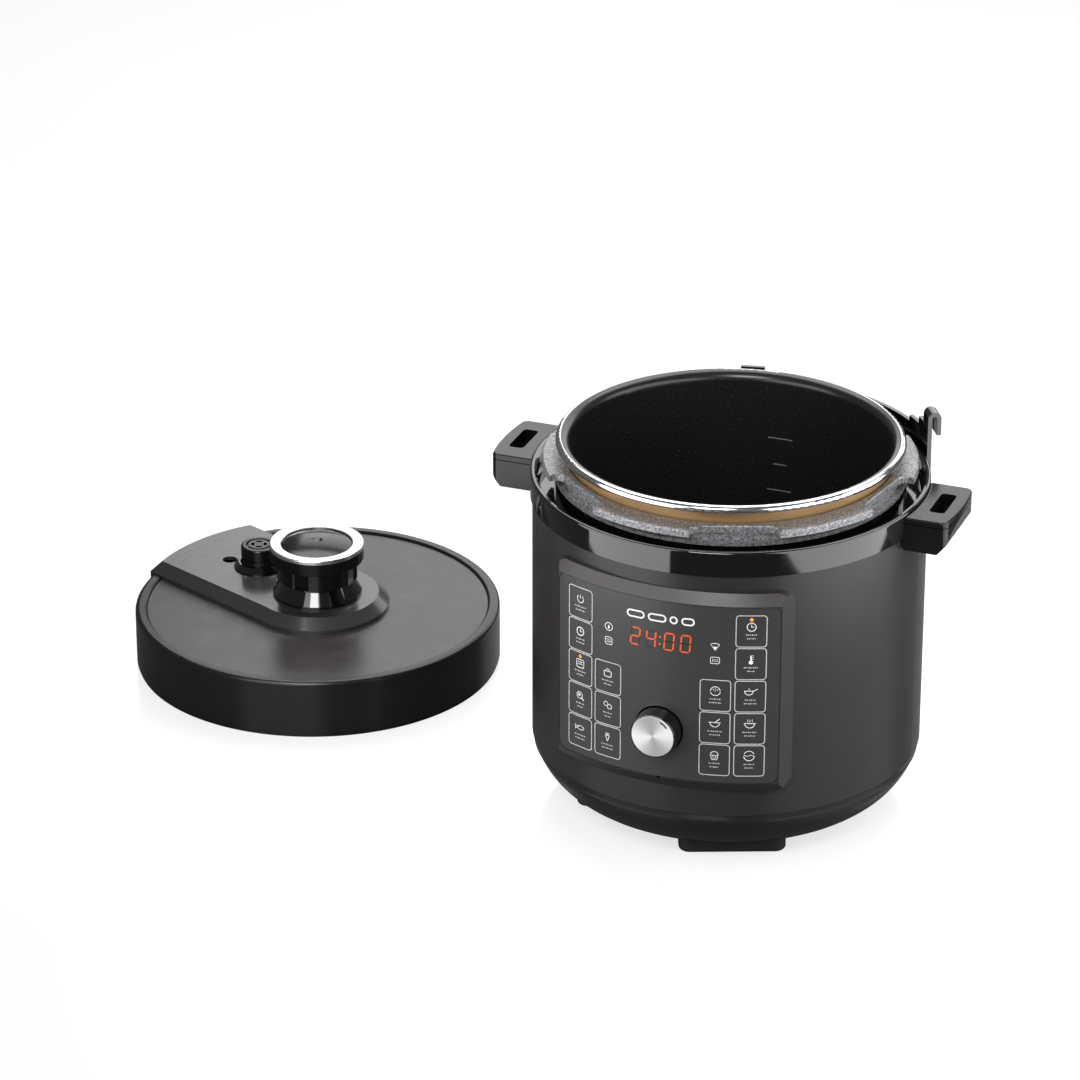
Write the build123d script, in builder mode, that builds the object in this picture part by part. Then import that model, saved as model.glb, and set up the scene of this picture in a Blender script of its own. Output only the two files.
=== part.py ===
from build123d import *
import os
from math import cos, radians, sin, sqrt

# An electric pressure cooker with its lid off and laid on the table beside it.
# Millimetres. The origin is on the table under the centre of the cooker, +Z is up, the control panel
# faces -Y and the two handles point along +X and -X. Heights inside the lid are measured from its
# own rim, which stands on the table.

# ---------------------------------------------------------------- body, overall sizes
body_radius = 136.0        # painted shell, outside
base_height = 45.0         # table to the seam under the shell
shell_height = 179.6       # painted shell, seam to seam
ring_height = 18.0         # glossy ring above the shell
foot_height = 9.0          # the bowl of the base clears the table by this
seam_gap = 0.5             # open line at each seam

shell_wall = 1.0
base_wall = 2.6
ring_wall = 2.6
ring_proud = 1.5           # the ring stands out past the shell
spigot_depth = 8.0         # how far base and ring reach into the shell
spigot_gap = 0.2

foot_length = 74.0
foot_width = 22.0
foot_ring = 94.0           # centre of each foot from the axis
foot_turn = -68.0          # direction of the first foot

# ---------------------------------------------------------------- pot, well and flange
pot_radius = 112.0         # inner pot, outside of its wall
pot_depth = 158.0          # inside, rim to floor
pot_wall = 1.8
pot_floor = 2.4
pot_corner = 20.0
rim_overhang = 8.0         # rolled rim past the wall
rim_tall = 5.0
rim_rise = 14.4            # rim above the locking flange
flange_rise = 10.6         # flange above the ring
pot_clearance = 1.4        # pot wall to well wall
rest_gap = 0.2             # pot floor to heating plate

well_wall = 2.0
lobe_reach = 17.0          # flange lobe past the pot wall
gap_reach = 5.0            # flange between lobes past the pot wall
lobe_count = 6
lobe_turn = -70.0          # direction of one gap between lobes
lobe_thickness = 5.0
gap_width = 60.0
flange_shoulder = 2.5
seat_drop = 13.2           # flange seat below the flange top
trough_depth = 13.0        # condensate trough below the ring's rim

plate_margin = 16.0        # heating plate inside the pot wall
plate_thickness = 14.0
element_radius = 70.0
element_tube = 4.5
sensor_radius = 15.0
sensor_clearance = 2.0
sensor_gap = 0.3           # sensor cap to pot floor
sensor_stem = 3.0
well_floor_drop = 21.0     # well floor below the heating plate's top
post_ring = 92.0           # base posts from the axis
post_radius = 7.0
screw_radius = 1.6
screw_head = 3.6
head_height = 2.2

# ---------------------------------------------------------------- control panel
panel_curve = 170.0        # radius of the panel's face, flatter than the body
panel_proud = 6.0          # panel face past the shell, on the centre line
panel_width = 167.0        # across the bezel where it meets the shell
panel_face_width = 158.6   # across the flat of the bezel, seen from the front
panel_height = 147.5
panel_bottom = 66.0
bevel_depth = 5.0
bevel_height = 7.5
panel_corner = 9.0
film_inset = 0.7
film_thickness = 1.4
film_corner = 6.0
film_gap = 0.35
foil_thickness = 0.4
film_sunk = 0.3
bezel_floor = 2.5

display_width = 52.0
display_tall = 20.0
display_z = 176.0
board_setback = 10.0       # control board inside the shell's radius
board_thickness = 1.6
board_width = 96.0
board_tall = 114.0

knob_z = 110.0
knob_radius = 16.4
knob_gap = 0.8             # round the knob in the panel
knob_reach = 12.0          # knob face past the panel
knob_sunk = 1.5
face_radius = 14.9
face_thickness = 0.9
shaft_radius = 3.0
shaft_clearance = 0.05

# ---------------------------------------------------------------- handles, guard, cup, inlet
handle_reach = 30.5        # handle past the shell
handle_half = 31.5
handle_height = 24.0
handle_drop = 1.6          # handle top below the ring's rim
handle_top_thickness = 4.0
handle_line = 0.6
slot_width = 11.0
slot_length = 32.0
slot_place = 14.5          # slot centre in from the handle's end

guard_gap = 2.0
guard_wall = 3.0
guard_start = 32.0         # direction of the end with the hook
guard_sweep = 74.0
guard_rise = 10.4          # guard above the ring's rim
hook_rise = 29.4
hook_width = 12.5
hook_reach = 9.5

cup_width = 56.0
cup_depth = 26.0
cup_tall = 42.0
cup_wall = 1.6
cup_drop = 12.6            # cup top below the shell's top
rail_width = 4.0
slide_gap = 0.3

inlet_width = 30.0
inlet_tall = 22.0
inlet_deep = 24.0
socket_width = 24.4
socket_tall = 16.8
socket_deep = 16.0
inlet_rise = 19.0          # inlet centre above the seam

# ---------------------------------------------------------------- lid
lid_stand_off = 182.0      # lid axis past the end of the left handle
lid_back = 83.7
lid_tail = 157.0           # direction the bridge's tail points in
lid_clearance = 0.8        # pan wall to flange lobes, and to the skirt
pan_wall = 2.0
skirt_wall = 2.4
skirt_height = 44.0
lid_rim_width = 8.4
disc_sunk = 1.7
disc_thickness = 2.0
teeth_depth = 7.5
tooth_thickness = 3.0
pan_lift = 0.8             # pan rim above the skirt's rim
roof_height = 36.0         # top of the pan over the sealing ring
pan_height = 31.0          # top of the pan in the middle
step_inset = 6.0           # pan's inner step inside the pot wall

bridge_half = 52.5
bridge_round = 53.0
bridge_rise = 10.2         # bridge above the disc
bridge_bevel = 7.5
bridge_skin = 2.5
bridge_overlap = 2.4       # bridge past the skirt
bridge_drop = 14.0         # bridge end below the skirt's top

float_inset = 19.0         # float valve inside the pan's step
valve_inset = 24.0         # steam valve inside the float valve
float_side = 8.0
float_radius = 2.6
float_hole = 5.5
valve_radius = 13.5
valve_rise = 18.0
collar_radius = 19.0
collar_rise = 4.5
pipe_radius = 4.0
pipe_bore = 1.8
valve_gap = 0.3

knob_top = 93.0            # bright ring's top above the table
knob_ring_radius = 35.0
ring_band = 8.6
ring_thick = 3.2
grip_height = 10.0
grip_floor = 2.5
rib_count = 60
pedestal_radius = 33.0
neck_radius = 26.5
collar_neck = 30.0
button_travel = 4.0
button_dome = 2.2
button_gap = 0.4
rod_radius = 3.0
lever_thickness = 3.0
lever_gap = 0.6
lever_pin_radius = 2.0

# ---------------------------------------------------------------- places worked out from the sizes
shell_top = base_height + shell_height
ring_top = shell_top + ring_height
flange_top = ring_top + flange_rise
rim_top = flange_top + rim_rise
ring_radius = body_radius + ring_proud
well_radius = pot_radius + pot_clearance
plate_radius = pot_radius - plate_margin
lobe_radius = pot_radius + lobe_reach
gap_radius = pot_radius + gap_reach
rim_radius = pot_radius + rim_overhang
trough = ring_top - trough_depth
seat = flange_top - seat_drop
pot_inside = rim_top - pot_depth
pot_bottom = pot_inside - pot_floor
plate_top = pot_bottom - rest_gap
plate_bottom = plate_top - plate_thickness
well_floor = plate_top - well_floor_drop
spring_plate_top = well_floor - well_wall - 8.0

panel_front = body_radius + panel_proud
panel_centre = panel_curve - panel_front
panel_middle = panel_bottom + panel_height / 2
film_width = panel_face_width - 2 * film_inset
film_height = panel_height - 2 * bevel_height - 2 * film_inset
film_outside = panel_curve - film_sunk
film_inside = film_outside - film_thickness
foil_inside = film_inside - foil_thickness
pocket_outside = foil_inside - bezel_floor
board_face = body_radius - board_setback
handle_end = body_radius + handle_reach
handle_top = ring_top - handle_drop
handle_bottom = handle_top - handle_height

pan_inside = lobe_radius + lid_clearance
step_radius = pot_radius - step_inset
float_place = step_radius - float_inset
valve_place = float_place - valve_inset
pan_radius = pan_inside + pan_wall
skirt_inside = pan_radius + lid_clearance
lid_radius = skirt_inside + skirt_wall
teeth_radius = pan_inside - teeth_depth - lid_clearance
disc_radius = lid_radius - lid_rim_width
disc_top = skirt_height - disc_sunk
disc_bottom = disc_top - disc_thickness
bridge_top = disc_top + bridge_rise
bridge_under = bridge_top - bridge_skin
pan_under = pan_height - pan_wall
lid_x = -(handle_end + lid_stand_off)
lid_y = lid_back
tail = Vector(cos(radians(lid_tail)), sin(radians(lid_tail)), 0)
lid_plane = Plane(origin=(lid_x, lid_y, 0), x_dir=tail, z_dir=(0, 0, 1))
lid_section = Plane(origin=(lid_x, lid_y, 0), x_dir=tail, z_dir=(tail.Y, -tail.X, 0))
lid_axis = Axis((lid_x, lid_y, 0), (0, 0, 1))
valve_axis = Axis(lid_plane.from_local_coords((valve_place, 0, 0)), (0, 0, 1))
post_spots = [(-20.0, 28.0), (-20.0, -28.0), (step_radius - 14.0, 34.0), (step_radius - 14.0, -34.0)]

os.makedirs("parts", exist_ok=True)


def bent_plate(inside, outside, width, tall, corner, middle):
    """A plate bent round the panel's upright axis: from the front, a rounded rectangle."""
    with BuildPart() as plate:
        with BuildSketch(Plane.XY.offset(middle - tall / 2)):
            with Locations((0, panel_centre)):
                Circle(outside)
                Circle(inside, mode=Mode.SUBTRACT)
        extrude(amount=tall)
        with BuildSketch(Plane.XZ):
            with Locations((0, middle)):
                RectangleRounded(width, tall, corner)
        extrude(amount=2 * body_radius, mode=Mode.INTERSECT)
    return plate.part


def screw_profile(head_radius, head, shank, length):
    """Half outline of a screw: its head's flat at height 0 and its shank going up."""
    return [(0, -head), (head_radius, -head), (head_radius, 0), (shank, 0), (shank, length), (0, length)]


# ================================================================ base
# The bowl: a short upright edge under the seam, then one curve in to the flat bottom.
bowl_edge = (body_radius - 1.4, base_height - 5.0)
bowl_middle = (body_radius - 10.0, base_height - 21.5)
bowl_flat = (body_radius - 30.0, foot_height)
spigot_radius = body_radius - shell_wall - spigot_gap

with BuildPart() as bowl_outside:
    with BuildSketch(Plane.XZ):
        with BuildLine():
            Line((0, foot_height), bowl_flat)
            ThreePointArc(bowl_flat, bowl_middle, bowl_edge)
            Polyline(bowl_edge, (body_radius - 0.4, base_height - seam_gap / 2))
            Polyline((body_radius - 0.4, base_height - seam_gap / 2), (0, base_height - seam_gap / 2),
                     (0, foot_height))
        make_face()
    revolve(axis=Axis.Z)

with BuildPart() as bowl_inside:
    with BuildSketch(Plane.XZ):
        with BuildLine():
            low = foot_height + base_wall
            Line((0, low), (bowl_flat[0] - 1.0, low))
            ThreePointArc((bowl_flat[0] - 1.0, low), (bowl_middle[0] - 2.0, bowl_middle[1] + 1.8),
                          (bowl_edge[0] - base_wall, bowl_edge[1]))
            Polyline((bowl_edge[0] - base_wall, bowl_edge[1]), (bowl_edge[0] - base_wall, base_height + 20),
                     (0, base_height + 20), (0, low))
        make_face()
    revolve(axis=Axis.Z)

post_top = spring_plate_top - 2.0
with BuildPart() as base_cover:
    add(bowl_outside.part)
    with BuildSketch(Plane.XY.offset(base_height - 6.0)):
        Circle(spigot_radius)
    extrude(amount=6.0 + spigot_depth / 2)
    add(bowl_inside.part, mode=Mode.SUBTRACT)
    # four posts carry the spring plate
    with BuildSketch(Plane.XY.offset(foot_height + 1.0)):
        with PolarLocations(post_ring, 4, start_angle=45):
            Circle(post_radius)
    extrude(amount=post_top - foot_height - 1.0)
    # stand-offs for the power board
    with BuildSketch(Plane.XY.offset(foot_height + 1.0)):
        with GridLocations(100, 60, 2, 2):
            Circle(4.0)
    extrude(amount=5.0)
    # screw holes from below, each with a recess for its head, and from above
    with BuildSketch(Plane.XY.offset(foot_height)):
        with PolarLocations(post_ring, 4, start_angle=45):
            Circle(screw_head + 0.8)
    extrude(amount=head_height + 0.6, mode=Mode.SUBTRACT)
    with BuildSketch(Plane.XY.offset(foot_height)):
        with PolarLocations(post_ring, 4, start_angle=45):
            Circle(screw_radius)
    extrude(amount=20.0, mode=Mode.SUBTRACT)
    with BuildSketch(Plane.XY.offset(post_top - 12.0)):
        with PolarLocations(post_ring, 4, start_angle=45):
            Circle(screw_radius)
    extrude(amount=20.0, mode=Mode.SUBTRACT)
    # cooling slots through the flat bottom
    with BuildSketch(Plane.XY.offset(foot_height)):
        with GridLocations(9.0, 1, 7, 1):
            SlotOverall(34.0, 3.6, rotation=90)
    extrude(amount=base_wall, mode=Mode.SUBTRACT)
base_cover.part.label = "base_cover"
export_step(base_cover.part, "parts/base_cover.step")

with BuildPart() as feet:
    with BuildSketch(Plane.XY):
        with PolarLocations(foot_ring, 4, start_angle=foot_turn):
            RectangleRounded(foot_width, foot_length, 8.0)
    extrude(amount=foot_height + 4.0)
    fillet(feet.edges().group_by(Axis.Z)[0], 2.5)
    add(bowl_outside.part, mode=Mode.SUBTRACT)
feet.part.label = "feet"
export_step(feet.part, "parts/feet.step")

head_seat = foot_height + head_height + 0.6
with BuildPart() as base_screws:
    with BuildSketch(Plane.XZ):
        with BuildLine():
            Polyline(*screw_profile(screw_head, head_height, screw_radius, 16.0), close=True)
        make_face()
    revolve(axis=Axis.Z)
base_screw = base_screws.part
with BuildPart() as base_screws:
    with PolarLocations(post_ring, 4, start_angle=45):
        add(Pos(0, 0, head_seat) * base_screw)
base_screws.part.label = "base_screws"
export_step(base_screws.part, "parts/base_screws.step")

# ================================================================ shell
inlet_z = base_height + inlet_rise
spout_z = shell_top - 6.5
with BuildPart() as outer_shell:
    with BuildSketch(Plane.XY.offset(base_height + seam_gap / 2)):
        Circle(body_radius)
        Circle(body_radius - shell_wall, mode=Mode.SUBTRACT)
    extrude(amount=shell_height - seam_gap)
    # window behind the panel
    with BuildSketch(Plane.XZ):
        with Locations((0, panel_middle)):
            RectangleRounded(panel_width - 26, panel_height - 30, 6.0)
    extrude(amount=2 * body_radius, mode=Mode.SUBTRACT)
    # mains inlet and drain spout at the back
    with BuildSketch(Plane.XZ):
        with Locations((0, inlet_z)):
            Rectangle(inlet_width + 7.0, inlet_tall + 6.0)
        with Locations((0, spout_z)):
            Circle(4.0)
    extrude(amount=-2 * body_radius, mode=Mode.SUBTRACT)
outer_shell.part.label = "outer_shell"
export_step(outer_shell.part, "parts/outer_shell.step")

# ================================================================ control panel
film_recess = bent_plate(foil_inside, panel_curve + 5, film_width + 2 * film_gap,
                         film_height + 2 * film_gap, film_corner + film_gap, panel_middle)
side_front = panel_centre - sqrt(panel_curve ** 2 - (panel_face_width / 2) ** 2)
side_back = -sqrt(body_radius ** 2 - (panel_width / 2) ** 2)
side_slant = (panel_width - panel_face_width) / 2 / (side_back - side_front)


def panel_half(y):
    """Half the bezel's width at a distance in front of the axis: its sides slant outwards to the shell."""
    return panel_face_width / 2 + side_slant * (y - side_front)



board_pocket = bent_plate(panel_curve / 2, pocket_outside, panel_width - 26, panel_height - 30, 6.0,
                          panel_middle)
peg_front = sqrt(pocket_outside ** 2 - (board_width / 2 - 5) ** 2) - panel_centre + 1.0
peg_length = peg_front - board_face - board_thickness

with BuildPart() as panel_bezel:
    # the front, turned about the panel's own upright axis, with a bevel above and below
    with BuildSketch(Plane.XZ.offset(-panel_centre)):
        with BuildLine():
            Polyline((panel_curve / 2, panel_bottom), (panel_curve - bevel_depth, panel_bottom),
                     (panel_curve, panel_bottom + bevel_height),
                     (panel_curve, panel_bottom + panel_height - bevel_height),
                     (panel_curve - bevel_depth, panel_bottom + panel_height),
                     (panel_curve / 2, panel_bottom + panel_height), close=True)
        make_face()
    revolve(axis=Axis((0, panel_centre, 0), (0, 0, 1)), revolution_arc=-180)
    # slanted sides
    with BuildSketch(Plane.XY.offset(panel_bottom)):
        with BuildLine():
            front = -1.2 * body_radius
            back = -0.5 * body_radius
            Polyline((-panel_half(front), front), (panel_half(front), front),
                     (panel_half(back), back), (-panel_half(back), back), close=True)
        make_face()
    extrude(amount=panel_height, mode=Mode.INTERSECT)
    # rounded corners, seen from the front
    with BuildSketch(Plane.XZ):
        with Locations((0, panel_middle)):
            RectangleRounded(panel_width, panel_height, panel_corner)
    extrude(amount=2 * body_radius, mode=Mode.INTERSECT)
    # the back is seated on the shell
    with BuildSketch(Plane.XY.offset(panel_bottom)):
        Circle(body_radius)
    extrude(amount=panel_height, mode=Mode.SUBTRACT)
    # recess for the film, pocket for the boards, window for the display, hole for the knob
    add(film_recess, mode=Mode.SUBTRACT)
    add(board_pocket, mode=Mode.SUBTRACT)
    with BuildSketch(Plane.XZ):
        with Locations((0, display_z)):
            Rectangle(display_width + 1.0, display_tall + 1.0)
        with Locations((0, knob_z)):
            Circle(knob_radius + knob_gap)
        with Locations((0, panel_bottom + bevel_height)):
            Circle(1.4)
    extrude(amount=2 * body_radius, mode=Mode.SUBTRACT)
    # pegs that the control board is screwed to
    with BuildSketch(Plane.XZ.offset(board_face + board_thickness)):
        with Locations((0, panel_middle)):
            with GridLocations(board_width - 10, board_tall - 10, 2, 2):
                Circle(3.5)
                Circle(screw_radius, mode=Mode.SUBTRACT)
    extrude(amount=peg_length)
panel_bezel.part.label = "panel_bezel"
export_step(panel_bezel.part, "parts/panel_bezel.step")

panel_film = bent_plate(film_inside, film_outside, film_width, film_height, film_corner, panel_middle)
with BuildPart() as panel_overlay:
    add(panel_film)
    with BuildSketch(Plane.XZ):
        with Locations((0, knob_z)):
            Circle(knob_radius + knob_gap)
    extrude(amount=2 * body_radius, mode=Mode.SUBTRACT)
panel_overlay.part.label = "panel_overlay"
export_step(panel_overlay.part, "parts/panel_overlay.step")

foil_sheet = bent_plate(foil_inside, film_inside, film_width, film_height, film_corner, panel_middle)
with BuildPart() as touch_foil:
    add(foil_sheet)
    with BuildSketch(Plane.XZ):
        with Locations((0, knob_z)):
            Circle(knob_radius + knob_gap)
        with Locations((0, display_z)):
            Rectangle(display_width, display_tall)
    extrude(amount=2 * body_radius, mode=Mode.SUBTRACT)
touch_foil.part.label = "touch_foil"
export_step(touch_foil.part, "parts/touch_foil.step")

display_front = panel_curve - panel_centre - (panel_curve - sqrt(foil_inside ** 2 - (display_width / 2) ** 2))
with BuildPart() as display_module:
    with BuildSketch(Plane.XZ.offset(board_face + board_thickness)):
        with Locations((0, display_z)):
            Rectangle(display_width - 1.0, display_tall - 1.0)
    extrude(amount=display_front - board_face - board_thickness - 0.2)
    # seats of the four digits
    with BuildSketch(Plane.XZ.offset(display_front - 0.2)):
        with Locations((0, display_z)):
            with GridLocations(11.5, 1, 4, 1):
                Rectangle(8.5, 15.0)
    extrude(amount=-0.8, mode=Mode.SUBTRACT)
display_module.part.label = "display_module"
export_step(display_module.part, "parts/display_module.step")

with BuildPart() as control_board:
    with BuildSketch(Plane.XZ.offset(board_face)):
        with Locations((0, panel_middle)):
            RectangleRounded(board_width, board_tall, 2.0)
            with GridLocations(board_width - 10, board_tall - 10, 2, 2):
                Circle(screw_radius, mode=Mode.SUBTRACT)
    extrude(amount=board_thickness)
control_board.part.label = "control_board"
export_step(control_board.part, "parts/control_board.step")

with BuildPart() as board_screws:
    with BuildSketch(Plane.XZ.offset(board_face - 1.4)):
        with Locations((0, panel_middle)):
            with GridLocations(board_width - 10, board_tall - 10, 2, 2):
                Circle(3.0)
    extrude(amount=1.4)
    with BuildSketch(Plane.XZ.offset(board_face)):
        with Locations((0, panel_middle)):
            with GridLocations(board_width - 10, board_tall - 10, 2, 2):
                Circle(screw_radius)
    extrude(amount=board_thickness + peg_length - 3.0)
board_screws.part.label = "board_screws"
export_step(board_screws.part, "parts/board_screws.step")

# ================================================================ control knob and its encoder
knob_face_y = panel_front + knob_reach
shaft_end = board_face + board_thickness + 2.0
with BuildPart() as encoder:
    with BuildSketch(Plane.XZ.offset(board_face + board_thickness)):
        with Locations((0, knob_z)):
            Rectangle(12.4, 13.2)
    extrude(amount=5.0)
    with BuildSketch(Plane.XZ.offset(board_face + board_thickness)):
        with Locations((0, knob_z)):
            Circle(shaft_radius + 1.6)
    extrude(amount=8.0)
    with BuildSketch(Plane.XZ.offset(shaft_end - 0.4)):
        with Locations((0, knob_z)):
            Circle(shaft_radius + shaft_clearance)
    extrude(amount=12.0, mode=Mode.SUBTRACT)
encoder.part.label = "encoder"
export_step(encoder.part, "parts/encoder.step")

knob_back = panel_front - film_sunk - knob_sunk
bore_end = knob_face_y - 4.0
with BuildPart() as knob_shaft:
    with BuildSketch(Plane.XZ.offset(shaft_end)):
        with Locations((0, knob_z)):
            Circle(shaft_radius)
    extrude(amount=bore_end - shaft_end)
knob_shaft.part.label = "knob_shaft"
export_step(knob_shaft.part, "parts/knob_shaft.step")

with BuildPart() as knob_skirt:
    with BuildSketch(Plane.XZ.offset(knob_back)):
        with Locations((0, knob_z)):
            Circle(knob_radius)
    extrude(amount=knob_face_y - knob_back, taper=2)
    fillet(knob_skirt.edges().group_by(Axis.Y)[0], 0.6)
    # seat of the metal face, hollow back and bore for the shaft
    with BuildSketch(Plane.XZ.offset(knob_face_y)):
        with Locations((0, knob_z)):
            Circle(face_radius)
    extrude(amount=-(face_thickness - 0.2), mode=Mode.SUBTRACT)
    with BuildSketch(Plane.XZ.offset(knob_back)):
        with Locations((0, knob_z)):
            Circle(knob_radius - 2.2)
            Circle(shaft_radius + 2.2, mode=Mode.SUBTRACT)
    extrude(amount=knob_reach - 2.0, mode=Mode.SUBTRACT)
    with BuildSketch(Plane.XZ.offset(knob_back)):
        with Locations((0, knob_z)):
            Circle(shaft_radius)
    extrude(amount=bore_end - knob_back, mode=Mode.SUBTRACT)
knob_skirt.part.label = "knob_skirt"
export_step(knob_skirt.part, "parts/knob_skirt.step")

with BuildPart() as knob_face:
    with BuildSketch(Plane.XZ.offset(knob_face_y - face_thickness + 0.2)):
        with Locations((0, knob_z)):
            Circle(face_radius)
    extrude(amount=face_thickness)
    fillet(knob_face.edges().group_by(Axis.Y)[0], 0.3)
knob_face.part.label = "knob_face"
export_step(knob_face.part, "parts/knob_face.step")

# ================================================================ top ring
drain_place = ring_radius - 10.0
sight_turn = -141.0
sight = Vector(cos(radians(sight_turn)), sin(radians(sight_turn)), 0)
sight_plane = Plane(origin=(ring_radius * sight.X, ring_radius * sight.Y, ring_top - 8.0),
                    x_dir=(-sight.Y, sight.X, 0), z_dir=sight)
collar_outside = well_radius + well_wall + 5.6
collar_inside = well_radius + well_wall + 0.4
ring_inside = ring_radius - 4.6
with BuildPart() as top_ring:
    with BuildSketch(Plane.XZ):
        with BuildLine():
            Polyline((ring_radius - 1.8, ring_top), (ring_radius - 3.0, ring_top),
                     (ring_inside, ring_top - 1.6), (ring_inside, trough + 2.0),
                     (ring_inside - 2.0, trough), (collar_outside, trough), (collar_outside, seat),
                     (collar_inside, seat), (collar_inside, trough - ring_wall),
                     (spigot_radius - ring_wall, trough - ring_wall),
                     (spigot_radius - ring_wall, shell_top - spigot_depth),
                     (spigot_radius, shell_top - spigot_depth), (spigot_radius, shell_top + seam_gap / 2),
                     (ring_radius, shell_top + seam_gap / 2), (ring_radius, ring_top - 1.8))
            RadiusArc((ring_radius, ring_top - 1.8), (ring_radius - 1.8, ring_top), -1.8)
        make_face()
    revolve(axis=Axis.Z)
    # drain through the trough's floor, at the back
    with BuildSketch(Plane.XY.offset(trough - ring_wall)):
        with Locations((0, drain_place)):
            Circle(2.5)
    extrude(amount=ring_wall, mode=Mode.SUBTRACT)
    with BuildSketch(Plane.XZ.offset(-drain_place)):
        with Locations((0, spout_z)):
            Circle(4.0)
    extrude(amount=-ring_radius, mode=Mode.SUBTRACT)
    # lock sight: a small oval recess on the side
    with BuildSketch(sight_plane):
        SlotOverall(9.0, 4.5, rotation=60)
    extrude(amount=-0.8, mode=Mode.SUBTRACT)
top_ring.part.label = "top_ring"
export_step(top_ring.part, "parts/top_ring.step")

spout_low = spout_z - 4.0
with BuildPart() as drain_spout:
    with BuildSketch(Plane.XY.offset(spout_low)):
        with Locations((0, drain_place)):
            Circle(4.0)
    extrude(amount=trough - ring_wall - spout_low)
    with BuildSketch(Plane.XZ.offset(-drain_place)):
        with Locations((0, spout_z)):
            Circle(4.0)
    extrude(amount=-(body_radius + cup_depth / 2 - drain_place))
    with BuildSketch(Plane.XY.offset(spout_z)):
        with Locations((0, drain_place)):
            Circle(2.5)
    extrude(amount=trough, mode=Mode.SUBTRACT)
    with BuildSketch(Plane.XZ.offset(-drain_place)):
        with Locations((0, spout_z)):
            Circle(2.5)
    extrude(amount=-body_radius, mode=Mode.SUBTRACT)
drain_spout.part.label = "drain_spout"
export_step(drain_spout.part, "parts/drain_spout.step")

# ================================================================ well and locking flange
lobe_bottom = flange_top - lobe_thickness
with BuildPart() as locking_flange:
    with BuildSketch(Plane.XY.offset(seat)):
        Circle(gap_radius - 0.6)
    extrude(amount=flange_top - seat)
    with BuildSketch(Plane.XY.offset(seat)):
        Circle(collar_outside)
    extrude(amount=flange_shoulder)
    # lobes, left where the gaps between them are cut away
    with BuildSketch(Plane.XY.offset(lobe_bottom)):
        Circle(lobe_radius)
        with PolarLocations(lobe_radius, lobe_count, start_angle=lobe_turn):
            RectangleRounded(2 * (lobe_radius - gap_radius), gap_width, 7.0, mode=Mode.SUBTRACT)
        Circle(gap_radius)
    extrude(amount=lobe_thickness)
    fillet(locking_flange.faces().sort_by(Axis.Z)[-1].edges(), 1.2)
    with BuildSketch(Plane.XY.offset(seat)):
        Circle(well_radius)
    extrude(amount=flange_top - seat, mode=Mode.SUBTRACT)
locking_flange.part.label = "locking_flange"
export_step(locking_flange.part, "parts/locking_flange.step")

terminal_radius = 2.0
boss_ring = plate_radius - 11.0
with BuildPart() as outer_pot:
    with BuildSketch(Plane.XY.offset(well_floor - well_wall)):
        Circle(well_radius + well_wall)
    extrude(amount=seat - well_floor + well_wall)
    fillet(outer_pot.edges().group_by(Axis.Z)[0], 4.5)
    with BuildSketch(Plane.XY.offset(well_floor)):
        Circle(well_radius)
    extrude(amount=seat - well_floor, mode=Mode.SUBTRACT)
    # holes in the floor for the sensor's stem and the element's ends
    with BuildSketch(Plane.XY.offset(well_floor - well_wall)):
        Circle(sensor_stem + 2.5)
        with Locations((-8.0, -element_radius), (8.0, -element_radius)):
            Circle(terminal_radius + 2.0)
        with PolarLocations(post_ring, 4, start_angle=0):
            Circle(screw_radius)
    extrude(amount=well_wall, mode=Mode.SUBTRACT)
outer_pot.part.label = "outer_pot"
export_step(outer_pot.part, "parts/outer_pot.step")

with BuildPart() as element_ring:
    with BuildSketch(Plane.XZ):
        with Locations((element_radius, plate_bottom)):
            Circle(element_tube)
    revolve(axis=Axis.Z, revolution_arc=360)

with BuildPart() as heating_plate:
    with BuildSketch(Plane.XZ):
        with BuildLine():
            Polyline((sensor_radius + sensor_clearance, plate_bottom), (plate_radius - 2, plate_bottom),
                     (plate_radius, plate_bottom + 2), (plate_radius, plate_top - 3),
                     (plate_radius - 6, plate_top), (sensor_radius + sensor_clearance + 1, plate_top),
                     (sensor_radius + sensor_clearance, plate_top - 1), close=True)
        make_face()
    revolve(axis=Axis.Z)
    # three bosses stand on the well's floor
    with BuildSketch(Plane.XY.offset(well_floor)):
        with PolarLocations(boss_ring, 3, start_angle=90):
            Circle(8.0)
    extrude(amount=plate_bottom - well_floor)
    add(element_ring.part, mode=Mode.SUBTRACT)
heating_plate.part.label = "heating_plate"
export_step(heating_plate.part, "parts/heating_plate.step")

with BuildPart() as heating_element:
    add(element_ring.part)
    with BuildSketch(Plane.XY.offset(well_floor - well_wall - 6.0)):
        with Locations((-8.0, -element_radius), (8.0, -element_radius)):
            Circle(terminal_radius)
    extrude(amount=plate_bottom - well_floor + well_wall + 6.0 - element_tube + 1.5)
heating_element.part.label = "heating_element"
export_step(heating_element.part, "parts/heating_element.step")

with BuildPart() as thermal_fuse:
    with BuildSketch(Plane.XY.offset(plate_bottom - 5.0)):
        with Locations((0, 40.0)):
            RectangleRounded(26.0, 7.0, 3.0)
    extrude(amount=5.0)
thermal_fuse.part.label = "thermal_fuse"
export_step(thermal_fuse.part, "parts/thermal_fuse.step")

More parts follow.
